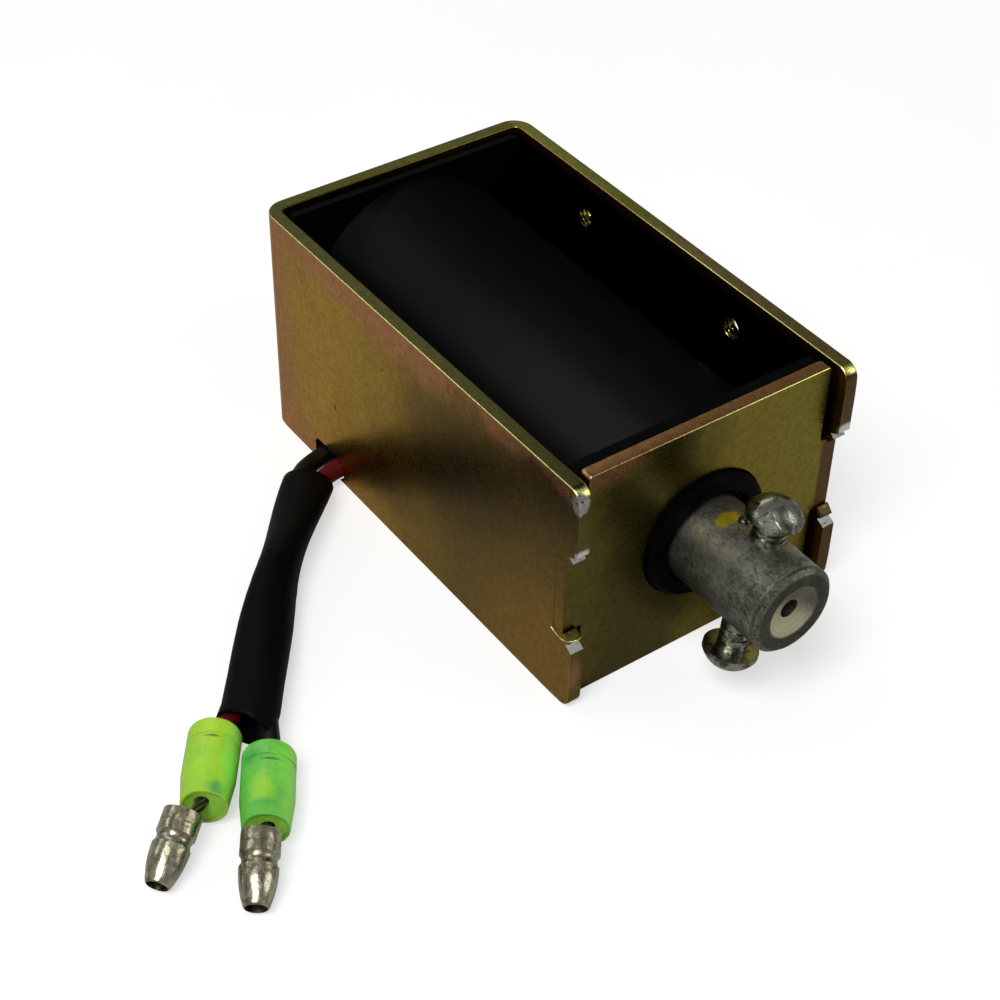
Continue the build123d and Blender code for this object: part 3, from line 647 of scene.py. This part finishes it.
def turned_end(finish, tone):
    """The plunger's end: turned rings in its dish with painted shade across it, a flat ring round the dish
    and a rubbed chamfer.
    """
    c = colours()
    mix, band, product, math_of = finish.mix, finish.band, finish.product, finish.math
    across, along = finish.part("X"), finish.part("Y")
    height = math_of("SUBTRACT", finish.part("Z"), PLUNGER_AXIS_Z)
    distance = math_of("SQRT", math_of("ADD", product(across, across), product(height, height)))
    end = band(along, PLUNGER_END + 0.00085, PLUNGER_END + 0.00075)
    rings = finish.noise(1.0, 3, 0.7, place=finish.joined(product(distance, 9000), 0.0, 0.0))
    turned = mix(band(rings, 0.45, 0.65, 0, 0.45), c.turned_warm, c.worn_dark_and_shade)
    # Painted shade across the dish, darker toward its upper side, standing in for the light on its cone
    dish_shade_slope = math_of("SUBTRACT", product(across, -0.6), product(height, 0.8))
    turned = mix(band(dish_shade_slope, 0.0012, -0.0018, 0, 0.9), turned, c.worn_dark_and_shade)
    dish = product(end, band(distance, PLUNGER_DISH + 0.0001, PLUNGER_DISH - 0.0003))
    tone = mix(product(dish, 0.85), tone, turned)
    flat = product(end, band(distance, PLUNGER_DISH - 0.0002, PLUNGER_DISH + 0.00015))
    tone = mix(product(flat, 0.88), tone, c.ring_dark)
    chamfer = product(
        band(along, PLUNGER_END + 0.0013, PLUNGER_END + 0.0005), band(distance, 0.0042, 0.0044),
        band(finish.noise(3400, 4, 0.7), 0.3, 0.75), 0.5,
    )
    return mix(chamfer, tone, c.chamfer_light)


def plunger_finish():
    """Rubbed and stained steel with painted shade on its underside, turned rings in its end and yellow
    plating left by the pin.
    """
    c = colours()
    finish = Finish("plunger_steel", Metallic=0.95)
    mix, band, product = finish.mix, finish.band, finish.product
    blotch = finish.noise(520, 4, 0.6, 0.2)
    scuffs = finish.noise(3200, 5, 0.75, 0.2, finish.stretched((1, 2.2, 1), (0.5, 0.3, 0.4)))
    patchy = finish.math("ADD", product(blotch, 0.45), product(scuffs, 0.55))
    tone = mix(band(patchy, 0.38, 0.64), c.worn_dark_and_shade, c.worn_light)
    # Painted shade on the downward-facing side
    under = product(band(finish.facing("Z"), 0.2, -0.4, 0, 0.85), band(finish.facing("Y"), -0.7, -0.5))
    tone = turned_end(finish, mix(under, tone, c.underside_painted_shade))
    spots = [product(finish.near(*patch), weight) for *patch, weight in YELLOW_PATCHES]
    tone = mix(finish.math("MAXIMUM", *spots), tone, c.chromate_yellow)
    finish.set("Base Color", tone)
    finish.set("Roughness", band(patchy, 0.4, 0.62, 0.5, 0.36))
    worn = finish.bump(scuffs, 0.00006, 0.5)
    finish.set("Normal", finish.bump(finish.noise(5200, 3, 0.6), 0.00002, 0.5, worn))
    return finish.material


def pin_finish():
    """Bright steel with a hammered head and dark stains."""
    c = colours()
    finish = Finish("pin_steel", Metallic=1.0)
    stain = finish.noise(850, 5, 0.7, 0.5)
    finish.set("Base Color", finish.mix(finish.band(stain, 0.44, 0.6), c.pin_light, c.pin_dark))
    finish.set("Roughness", finish.band(stain, 0.4, 0.65, 0.22, 0.4))
    hammered = finish.bump(finish.cells(520), 0.0002, 0.3)
    finish.set("Normal", finish.bump(finish.noise(1500, 3, 0.6), 0.00006, 0.35, hammered))
    return finish.material


def insulator_finish(name, base, stain, patches=(), turn=0):
    """Translucent green plastic with softer patches, all turned alike about the vertical, with painted light
    on the sides facing +X.
    """
    c = colours()
    finish = Finish(f"{name}_green", Roughness=0.38)
    tone = finish.mix(finish.band(finish.noise(330, 3, 0.6, 0.8), 0.4, 0.66, 0, 0.35), base, stain)
    along = finish.stretched((0.0016, 0.0005, 0.0005), (0, 0, math.radians(55)))
    veins = finish.noise(1, 4, 0.65, 0.3, along)
    tone = finish.mix(finish.band(veins, 0.46, 0.66, 0, 0.4), tone, stain)
    for colour, place, reach, weight in patches:
        patch = finish.near(place, reach, 0.15, 0.6, 1300, (0, 0, math.radians(turn)))
        tone = finish.mix(finish.product(patch, weight), tone, getattr(c, colour))
    # Painted light: sides facing +X are lightened
    tone = finish.mix(finish.band(finish.facing("X"), 0.25, 0.8, 0, 0.85), tone, c.insulator_far_painted_light)
    finish.set("Base Color", tone)
    finish.set("Subsurface Weight", 0.85)
    finish.shader.inputs["Subsurface Radius"].default_value = (0.5, 1.0, 0.4)
    finish.set("Subsurface Scale", 0.0014)
    finish.set("Normal", finish.bump(finish.noise(1900, 3, 0.6), 0.00004, 0.35))
    return finish.material


def wrap_finish():
    """Black film with a painted grey sheen along its left side, stronger toward the front, scuffed and
    glossier toward the front.
    """
    c = colours()
    finish = Finish("wrap_film", Metallic=0.0)
    band, product = finish.band, finish.product
    across = finish.part("X")
    front = band(finish.part("Y"), 0.016, -0.014)
    # Painted highlight: a grey sheen along the left side, stronger toward the front
    sheen = product(band(across, -0.003, -0.0068), band(across, -0.0118, -0.0085))
    tone = finish.mix(sheen, c.wrap_black, finish.mix(front, c.wrap_painted_sheen, c.wrap_painted_sheen_front))
    scuffs = finish.noise(1, 4, 0.7, place=finish.stretched((0.0004, 0.003, 0.0004)))
    scuffed = product(band(scuffs, 0.62, 0.75, 0, 0.5), front)
    finish.set("Base Color", finish.mix(scuffed, tone, c.wrap_scuff))
    gloss = finish.math("ADD", product(front, 0.04), 0.02)
    finish.set("Specular IOR Level", product(gloss, band(across, 0.001, -0.0055, 0.15, 1.0)))
    fine = finish.noise(900, 3, 0.6)
    finish.set("Roughness", band(fine, 0.3, 0.7, 0.38, 0.46))
    finish.set("Normal", finish.bump(fine, 0.00002, 0.4))
    return finish.material


def bullet_finish():
    """Plated bullet metal with tarnish and long shallow dents."""
    c = colours()
    finish = Finish("bullet_metal", Metallic=1.0)
    tarnish = finish.noise(700, 5, 0.7, 0.6)
    drawn = finish.noise(1, 4, 0.6, 0.4, finish.stretched((0.0016, 0.0004, 0.0006), (0, 0, math.radians(50))))
    tone = finish.mix(finish.band(tarnish, 0.5, 0.68), c.bullet_light, c.bullet_dark)
    tone = finish.mix(finish.band(drawn, 0.46, 0.62, 0, 0.55), tone, c.bullet_dark)
    finish.set("Base Color", tone)
    finish.set("Roughness", finish.band(tarnish, 0.4, 0.7, 0.24, 0.42))
    dents = finish.bump(finish.noise(420, 2, 0.5), 0.00045, 0.6)
    finish.set("Normal", finish.bump(finish.noise(2600, 3, 0.6), 0.00005, 0.5, dents))
    return finish.material


def dress(node, material):
    """Give a carried-over CAD node its finish."""
    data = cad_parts[node].data
    data.materials.clear()
    data.materials.append(material)


def new_piece(name, bm, material, body, smooth_angle=35, extra=()):
    """Turn a bmesh into a piece that rides on a body."""
    data = bpy.data.meshes.new(name)
    bm.to_mesh(data)
    bm.free()
    piece = bpy.data.objects.new(name, data)
    bpy.context.scene.collection.objects.link(piece)
    for each in (material, *extra):
        data.materials.append(each)
    data.polygons.foreach_set("use_smooth", [True] * len(data.polygons))
    data.set_sharp_from_angle(angle=math.radians(smooth_angle))
    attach(piece, body)
    return piece


def struck_place(place):
    """Whether a place lies on a chisel mark of one of the front ears."""
    lift = abs(place.z - (YOKE_LOW.z + YOKE_HIGH.z) / 2)
    return place.y < YOKE_LOW.y + STRUCK_DEPTH and STRUCK_NEAR < lift < STRUCK_FAR


def hole_place(place):
    """Whether a place lies on one of the tapped holes."""
    return place.x > 0 and any(
        math.hypot(place.y - along, place.z - height) < HOLE_RADIUS * HOLE_MARGIN
        for along, height in TAPPED_HOLES
    )


def notch_place(place):
    """Whether a place lies on the notch for the leads at the foot of the left wall."""
    return place.x < 0 and place.z < NOTCH_TOP and NOTCH_FRONT < place.y < NOTCH_REAR


def round_edges(bm, width):
    """Round the edges that turn more than 25 degrees, but for the chisel marks, tapped holes and notch."""
    sharp = [e for e in bm.edges if len(e.link_faces) == 2 and e.calc_face_angle() > math.radians(25)]
    left_sharp = (struck_place, hole_place, notch_place)
    sharp = [e for e in sharp if not any(test(v.co) for v in e.verts for test in left_sharp)]
    bmesh.ops.bevel(
        bm, geom=sharp, offset=width, offset_type="OFFSET", segments=2, profile=0.5,
        affect="EDGES", clamp_overlap=False, material=-1, loop_slide=True,
    )


def merged_copy(node):
    """A bmesh of a CAD node's mesh with its doubles merged and its flat faces joined."""
    bm = bmesh.new()
    bm.from_mesh(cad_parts[node].data)
    bmesh.ops.remove_doubles(bm, verts=bm.verts, dist=0.000002)
    bmesh.ops.dissolve_limit(
        bm, angle_limit=math.radians(0.4), verts=bm.verts, edges=bm.edges, use_dissolve_boundaries=False
    )
    return bm


def lathe(outline, start, direction, steps):
    """Spin an outline of (distance, radius) points, in millimetres, about an axis."""
    bm = bmesh.new()
    along = Vector(direction).normalized()
    side = along.cross(Vector((0, 0, 1))).normalized()
    start = Vector(start)
    points = [bm.verts.new(start + along * (d * MM) + side * (r * MM)) for d, r in outline]
    edges = [bm.edges.new(pair) for pair in zip(points, points[1:])]
    bmesh.ops.spin(
        bm, geom=points + edges, cent=start, axis=along, dvec=(0, 0, 0),
        angle=math.tau, steps=steps, use_merge=True, use_duplicate=False,
    )
    bmesh.ops.remove_doubles(bm, verts=bm.verts, dist=0.000001)
    bmesh.ops.recalc_face_normals(bm, faces=bm.faces)
    return bm


def spline_points(route, steps=12):
    """Points along the smooth line of a route, read from its NURBS spline."""
    curve = route_curve("route_probe", route, 0, steps)
    probe = bpy.data.objects.new("route_probe", curve)
    bpy.context.scene.collection.objects.link(probe)
    bpy.context.view_layer.update()
    mesh = bpy.data.meshes.new_from_object(probe)
    points = [v.co.copy() for v in mesh.vertices]
    bpy.data.objects.remove(probe)
    bpy.data.meshes.remove(mesh)
    bpy.data.curves.remove(curve)
    return points


def route_curve(name, route, width, steps=12):
    """A NURBS curve whose control points are the route's points."""
    curve = bpy.data.curves.new(name, "CURVE")
    curve.dimensions = "3D"
    curve.resolution_u = steps
    curve.bevel_depth = width / 2
    curve.bevel_resolution = 5
    curve.use_fill_caps = width > 0
    spline = curve.splines.new("NURBS")
    spline.points.add(len(route) - 1)
    for point, place in zip(spline.points, route):
        point.co = (*place, 1)
    spline.order_u = 3
    spline.use_endpoint_u = True
    return curve


def tube_along(bm, points, radius, sides):
    """Add a closed tube round a line of points."""
    rings = []
    upright = Vector((0, 0, 1))
    for index, place in enumerate(points):
        ahead = (points[min(index + 1, len(points) - 1)] - points[max(index - 1, 0)]).normalized()
        side = ahead.cross(upright).normalized()
        turn = Matrix((side, ahead.cross(side), ahead)).transposed().to_4x4()
        made = bmesh.ops.create_circle(
            bm, segments=sides, radius=radius, cap_ends=index in (0, len(points) - 1),
            matrix=Matrix.Translation(place) @ turn,
        )
        rings.append(list({edge for vert in made["verts"] for edge in vert.link_edges}))
    for first, second in zip(rings, rings[1:]):
        bmesh.ops.bridge_loops(bm, edges=first + second)
    bmesh.ops.recalc_face_normals(bm, faces=bm.faces)


def line_length(points):
    """Length of a line of points."""
    return sum((b - a).length for a, b in zip(points, points[1:]))


class SOLENOID_OT_camera(Operator):
    """Place the camera where the photograph was taken from."""

    bl_idname = "solenoid.camera"
    bl_label = "Camera"

    def execute(self, context):
        azimuth, elevation, roll = (math.radians(a) for a in (CAMERA_AZIMUTH, CAMERA_ELEVATION, CAMERA_ROLL))
        back = Vector((
            math.sin(azimuth) * math.cos(elevation),
            -math.cos(azimuth) * math.cos(elevation),
            math.sin(elevation),
        ))
        level = (-back).cross(Vector((0, 0, 1))).normalized()
        upright = level.cross(-back)
        right = level * math.cos(roll) + upright * math.sin(roll)
        up = upright * math.cos(roll) - level * math.sin(roll)
        turn = Matrix((right, up, back)).transposed().to_4x4()
        data = bpy.data.cameras.new("camera")
        data.lens = CAMERA_LENS
        data.clip_start = 0.01
        data.clip_end = 10
        camera = bpy.data.objects.new("camera", data)
        camera.matrix_world = Matrix.Translation(CAMERA_PLACE) @ turn
        context.scene.collection.objects.link(camera)
        context.scene.camera = camera
        return {"FINISHED"}


def make_sleeve():
    """Flattened sleeve over the two leads, which turns with them and is cut slanting at its lower end."""
    s, c = sizes(), colours()
    centres = spline_points(SLEEVE_ROUTE)
    last = Matrix.Rotation(math.radians(SLEEVE_LEAN), 3, "Z") @ (centres[-1] - centres[-2])
    reach = last.normalized() * SLEEVE_OVER
    centres += [centres[-1] + reach * step / SLEEVE_OVER_RINGS for step in range(1, SLEEVE_OVER_RINGS + 1)]
    black = spline_points(BLACK_ROUTE)
    red = spline_points(RED_ROUTE)
    bm = bmesh.new()
    rings = []
    for index, centre in enumerate(centres):
        ahead = centres[min(index + 1, len(centres) - 1)] - centres[max(index - 1, 0)]
        ahead.normalize()
        near_black = min(black, key=lambda p: (p - centre).length)
        near_red = min(red, key=lambda p: (p - centre).length)
        wide = near_red - near_black
        wide = (wide - ahead * wide.dot(ahead)).normalized()
        turn = Matrix((wide, ahead.cross(wide), ahead)).transposed().to_4x4()
        flare = 1 + SLEEVE_FLARE * max(0, 1 - (len(centres) - 1 - index) / SLEEVE_FLARE_RINGS)
        squash = Matrix.Diagonal((s.sleeve_wide / 2 * flare, s.sleeve_narrow / 2, 1, 1))
        made = bmesh.ops.create_circle(
            bm, segments=40, radius=1, matrix=Matrix.Translation(centre) @ turn @ squash
        )
        rings.append(list({edge for vert in made["verts"] for edge in vert.link_edges}))
    for first, second in zip(rings, rings[1:]):
        bmesh.ops.bridge_loops(bm, edges=first + second)
    left, right = (Vector(place) for place in SLEEVE_CUT)
    outward = Vector((0, 0, 1)).cross(right - left)
    if outward.dot(last) < 0:
        outward.negate()
    whole = bm.verts[:] + bm.edges[:] + bm.faces[:]
    bmesh.ops.bisect_plane(bm, geom=whole, plane_co=left, plane_no=outward, clear_outer=True)
    bmesh.ops.recalc_face_normals(bm, faces=bm.faces)
    matte = plain_finish("sleeve", c.sleeve_black, 0.5, grain=1800, shine=0.045)
    piece = new_piece("lead_sleeve_soft", bm, matte, BODY)
    thick = piece.modifiers.new("wall", "SOLIDIFY")
    thick.thickness = s.sleeve_wall
    thick.offset = -1
    thick.use_even_offset = True
    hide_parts("lead_sleeve")
    return piece


def make_strands(name, route, material, chance):
    """A twisted bundle of fine bare strands along a route."""
    s = sizes()
    line = spline_points(route, 10)
    bm = bmesh.new()
    room = (s.bundle_width - s.strand_width) / 2
    layout = [(count, share) for count, share in STRAND_LAYERS for _ in range(count)]
    for strand, (count, share) in enumerate(layout):
        reach = room * share
        start = math.tau * strand / count + chance.uniform(-0.2, 0.2)
        length = 0
        places = []
        for index, centre in enumerate(line):
            ahead = (line[min(index + 1, len(line) - 1)] - line[max(index - 1, 0)]).normalized()
            side = ahead.cross(Vector((0, 0, 1))).normalized()
            length += (centre - line[max(index - 1, 0)]).length
            angle = start + length * STRAND_TWIST
            offset = side * math.cos(angle) + ahead.cross(side) * math.sin(angle)
            places.append(centre + offset * reach)
        tube_along(bm, places, s.strand_width / 2, 7)
    piece = new_piece(f"{name}_strand_bundle", bm, material, BODY)
    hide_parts(f"{name}_strands")
    return piece


class SOLENOID_OT_leads(Operator):
    """Lay the two leads and the sleeve round them."""

    bl_idname = "solenoid.leads"
    bl_label = "Leads"

    def execute(self, context):
        s, c = sizes(), colours()
        sleeve = make_sleeve()
        chance = random.Random(7)
        bare = plain_finish("strand_metal", c.strand_metal, 0.42, metallic=1.0, grain=3000)
        for name, route, colour in (("black", BLACK_ROUTE, c.black_pvc), ("red", RED_ROUTE, c.red_pvc)):
            strands = make_strands(name, STRAND_ROUTES[name], bare, chance)
            curve = route_curve(f"{name}_lead_cord", route, s.lead_width)
            lead = bpy.data.objects.new(f"{name}_lead_cord", curve)
            context.scene.collection.objects.link(lead)
            curve.materials.append(plain_finish(f"{name}_insulation", colour, 0.4, grain=1500, shine=0.2))
            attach(lead, BODY)
            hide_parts(f"{name}_lead")
            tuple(route[0])
            line_length(spline_points(route))
        return {"FINISHED"}


class SOLENOID_OT_lead_ends(Operator):
    """Finish the insulators and the bullets at the ends of the leads."""

    bl_idname = "solenoid.lead_ends"
    bl_label = "Lead ends"

    def close_mouth(self, name, mouth, axis):
        """A web just inside an insulator's mouth, with a hole where the strands pass."""
        s = sizes()
        line = spline_points(STRAND_ROUTES[name], 10)
        crossing = min(line, key=lambda place: abs((place - mouth).dot(axis)))
        crossing = crossing - axis * (crossing - mouth).dot(axis)
        side = axis.cross(Vector((0, 0, 1))).normalized()
        turn = Matrix((side, axis.cross(side), axis)).transposed().to_4x4()
        inset = mouth - axis * s.web_inset
        bm = bmesh.new()
        loops = []
        for centre, radius in ((inset, s.web_width / 2), (crossing - axis * s.web_inset, s.web_hole / 2)):
            upright = Matrix.Translation(centre) @ turn
            made = bmesh.ops.create_circle(bm, segments=40, radius=radius, matrix=upright)
            loops += {edge for vert in made["verts"] for edge in vert.link_edges}
        bmesh.ops.bridge_loops(bm, edges=loops)
        bmesh.ops.recalc_face_normals(bm, faces=bm.faces)
        if sum(face.normal.dot(axis) for face in bm.faces) < 0:
            bmesh.ops.reverse_faces(bm, faces=bm.faces)
        bm.normal_update()
        bmesh.ops.solidify(bm, geom=bm.faces[:], thickness=s.web_inset * 4)
        bmesh.ops.recalc_face_normals(bm, faces=bm.faces)
        c = colours()
        green = insulator_finish(f"{name}_web", c.insulator_web, c.insulator_green)
        web = new_piece(f"{name}_insulator_web", bm, green, BODY)

    def execute(self, context):
        c = colours()
        tones = {"red": (c.insulator_lime, c.insulator_green), "black": (c.insulator_green, c.insulator_teal_and_shade)}
        for name, (base, stain) in tones.items():
            green = insulator_finish(name, base, stain, INSULATOR_PATCHES[name], INSULATOR_PATCH_TURNS[name])
            dress(f"{name}_insulator", green)
        for name, (mouth, axis) in INSULATOR_MOUTHS.items():
            self.close_mouth(name, Vector(mouth), Vector(axis).normalized())
        metal = bullet_finish()
        for name in ("black", "red"):
            dress(f"{name}_bullet", metal)
        return {"FINISHED"}


def tapped_thread(bm, place, height):
    """Cut a winding thread into the bore of one hole of the right wall."""
    s = sizes()
    low, high = YOKE_HIGH.x - SHEET, YOKE_HIGH.x

    def on_bore(vert):
        away = math.hypot(vert.co.y - place, vert.co.z - height)
        return vert.co.x > low - BORE_SLACK and abs(away - HOLE_RADIUS) < BORE_SLACK

    def runs_through(edge):
        first, second = edge.verts
        return on_bore(first) and on_bore(second) and abs(first.co.x - second.co.x) > SHEET / 2

    through = [edge for edge in bm.edges if runs_through(edge)]
    bmesh.ops.subdivide_edgering(bm, edges=through, interp_mode="LINEAR", cuts=THREAD_CUTS)
    for vert in bm.verts:
        inset = min(vert.co.x - low, high - vert.co.x)
        if not on_bore(vert) or inset < 0.00001:
            continue
        turn = math.atan2(vert.co.z - height, vert.co.y - place) / math.tau
        depth = 1 - abs(2 * (((vert.co.x - low) / s.thread_pitch - turn) % 1) - 1)
        depth = min(1, max(0, FLANK_STEEPNESS * depth - CREST_FLAT))
        depth *= min(1, inset / s.thread_pitch * THREAD_RUNOUT)
        radius = (s.thread_minor + (s.thread_major - s.thread_minor) * depth) / 2
        vert.co.y = place + radius * math.cos(turn * math.tau)
        vert.co.z = height + radius * math.sin(turn * math.tau)


def sheet_slot(face):
    """The material slot of a face of the sheet metal: plating, struck metal or thread."""
    middle = face.calc_center_median()
    if hole_place(middle) and abs(face.normal.x) < 0.99:
        return 2
    lower = middle.z < (YOKE_LOW.z + YOKE_HIGH.z) / 2
    bared = struck_place(middle) and (not lower or middle.z < LOWER_BARED)
    return 1 if bared and abs(face.normal.x) < 0.9 else 0


class SOLENOID_OT_sheet_metal(Operator):
    """Finish the bent frame, its tapped holes and the end plate."""

    bl_idname = "solenoid.sheet_metal"
    bl_label = "Sheet metal"

    def execute(self, context):
        s, c = sizes(), colours()
        struck, thread = struck_finish(), thread_finish()
        rims = {"frame_yoke": c.plating_rim, "end_plate": c.plating_copper}
        for node, rim in rims.items():
            bm = merged_copy(node)
            if node == "frame_yoke":
                for place, height in TAPPED_HOLES:
                    tapped_thread(bm, place, height)
            round_edges(bm, s.edge_round)
            bm.normal_update()
            for face in bm.faces:
                face.material_index = sheet_slot(face)
            plating = plating_finish(f"{node}_plating", rim)
            piece = new_piece(f"{node}_plated", bm, plating, BODY, extra=(struck, thread))
            level = piece.modifiers.new("level", "WEIGHTED_NORMAL")
            level.keep_sharp = True
            level.weight = 100
            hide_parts(node)
        return {"FINISHED"}


class SOLENOID_OT_burrs(Operator):
    """Add the curled burr at the lower left ear and the raised burr beside the cross pin."""

    bl_idname = "solenoid.burrs"
    bl_label = "Burrs"

    def execute(self, context):
        c = colours()
        bm = bmesh.new()
        tube_along(bm, spline_points(CURL_ROUTE, 6), sizes().curl_width / 2, 8)
        # The curl takes the painted highlight colour of the edge line
        curl = plain_finish("curled_plate", c.plating_line_highlight, 0.28, metallic=1.0, grain=4000)
        new_piece("ear_curl", bm, curl, BODY)
        bm = lathe(PIN_BURR_OUTLINE, PIN_BURR, PIN_BURR_LEAN, 32)
        new_piece("pin_burr", bm, pin_finish(), MOVER, smooth_angle=60)
        return {"FINISHED"}


class SOLENOID_OT_coil(Operator):
    """Finish the bobbin, the wrapped winding and what they hold."""

    bl_idname = "solenoid.coil"
    bl_label = "Coil"

    def execute(self, context):
        c = colours()
        dress("bobbin", plain_finish("bobbin_plastic", c.moulded_black, 0.45, grain=2200, shine=0.02))
        dress("coil_wrap", wrap_finish())
        dress("coil_winding", plain_finish("winding_wire", c.winding_copper, 0.3, metallic=1.0))
        dress("lead_anchor", plain_finish("anchor_tape", c.moulded_black, 0.5))
        # Brass darkened as painted shade of the gap round the plunger
        brass = plain_finish("drawn_brass_painted_shade", c.drawn_brass_painted_shade, 0.3, metallic=1.0)
        dress("guide_tube", brass)
        dress("pole_washer", brass)
        dress("pole_piece", plain_finish("pole_steel", c.worn_light, 0.4, metallic=1.0))
        dress("splice_joints", plain_finish("solder", c.solder_grey, 0.35, metallic=1.0))
        return {"FINISHED"}


class SOLENOID_OT_plunger(Operator):
    """Finish the plunger and its cross pin."""

    bl_idname = "solenoid.plunger"
    bl_label = "Plunger"

    def execute(self, context):
        dress("plunger", plunger_finish())
        dress("cross_pin", pin_finish())
        return {"FINISHED"}


def floor_finish():
    """Pale paper that still takes the shadow and is lifted to white for the camera."""
    c = colours()
    finish = Finish("floor_paper", Roughness=0.95, Specular_IOR_Level=0.0)
    fibre = finish.noise(40, 3, 0.5)
    finish.set("Base Color", finish.mix(finish.band(fibre, 0.3, 0.7), c.floor_fibre, c.floor_pale))
    seen = finish.node("ShaderNodeLightPath").outputs["Is Camera Ray"]
    finish.set("Emission Strength", finish.product(seen, FLOOR_LIFT))
    finish.set("Emission Color", (1.0, 1.0, 1.0))
    return finish.material


def studio_world():
    """Even studio surround, seen as white by the camera and through clear material."""
    world = bpy.data.worlds.new("studio")
    world.use_nodes = True
    tree = world.node_tree
    surround = tree.nodes["Background"]
    surround.inputs["Color"].default_value = (1, 1, 1, 1)
    path = tree.nodes.new("ShaderNodeLightPath")
    seen = tree.nodes.new("ShaderNodeMath")
    seen.operation = "MAXIMUM"
    tree.links.new(path.outputs["Is Camera Ray"], seen.inputs[0])
    tree.links.new(path.outputs["Is Transmission Ray"], seen.inputs[1])
    level = tree.nodes.new("ShaderNodeMapRange")
    tree.links.new(seen.outputs[0], level.inputs["Value"])
    level.inputs["To Min"].default_value = SURROUND
    level.inputs["To Max"].default_value = 1.0
    tree.links.new(level.outputs["Result"], surround.inputs["Strength"])
    return world


def add_lamp(name, place, size, power):
    """A rectangular lamp aimed at the object."""
    data = bpy.data.lights.new(name, "AREA")
    data.shape = "RECTANGLE"
    data.size, data.size_y = size
    data.energy = power
    lamp = bpy.data.objects.new(name, data)
    turn = (LAMP_TARGET - Vector(place)).to_track_quat("-Z", "Y")
    lamp.matrix_world = Matrix.Translation(place) @ turn.to_matrix().to_4x4()
    bpy.context.scene.collection.objects.link(lamp)


class SOLENOID_OT_stage(Operator):
    """Lay the floor and set the studio lamps and the world."""

    bl_idname = "solenoid.stage"
    bl_label = "Stage"

    def execute(self, context):
        bm = bmesh.new()
        bmesh.ops.create_grid(bm, x_segments=2, y_segments=2, size=3)
        data = bpy.data.meshes.new("floor")
        bm.to_mesh(data)
        bm.free()
        floor = bpy.data.objects.new("floor", data)
        context.scene.collection.objects.link(floor)
        floor.location.z = -0.00005
        data.materials.append(floor_finish())
        context.scene.world = studio_world()
        for lamp in LAMPS:
            add_lamp(*lamp)
        context.scene.view_settings.view_transform = "Standard"
        return {"FINISHED"}


class SOLENOID_PT_pieces(Panel):
    """Lists the pieces of the solenoid and their sizes and colours."""

    bl_label = "Solenoid"
    bl_space_type = "VIEW_3D"
    bl_region_type = "UI"
    bl_category = "Solenoid"

    def draw(self, context):
        for operator in OPERATORS:
            self.layout.operator(operator.bl_idname)
        for group in (context.scene.solenoid_sizes, context.scene.solenoid_colours):
            for name in group.__annotations__:
                self.layout.prop(group, name)


OPERATORS = (
    SOLENOID_OT_camera,
    SOLENOID_OT_leads,
    SOLENOID_OT_lead_ends,
    SOLENOID_OT_sheet_metal,
    SOLENOID_OT_burrs,
    SOLENOID_OT_coil,
    SOLENOID_OT_plunger,
    SOLENOID_OT_stage,
)
CLASSES = (SolenoidSizes, SolenoidColours, *OPERATORS, SOLENOID_PT_pieces)


def register():
    for each in CLASSES:
        bpy.utils.register_class(each)
    bpy.types.Scene.solenoid_sizes = PointerProperty(type=SolenoidSizes)
    bpy.types.Scene.solenoid_colours = PointerProperty(type=SolenoidColours)


def unregister():
    del bpy.types.Scene.solenoid_colours
    del bpy.types.Scene.solenoid_sizes
    for each in reversed(CLASSES):
        bpy.utils.unregister_class(each)


def main():
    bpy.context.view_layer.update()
    register()
    for operator in OPERATORS:
        group, name = operator.bl_idname.split(".")
        getattr(getattr(bpy.ops, group), name)()


if __name__ == "__main__":
    main()
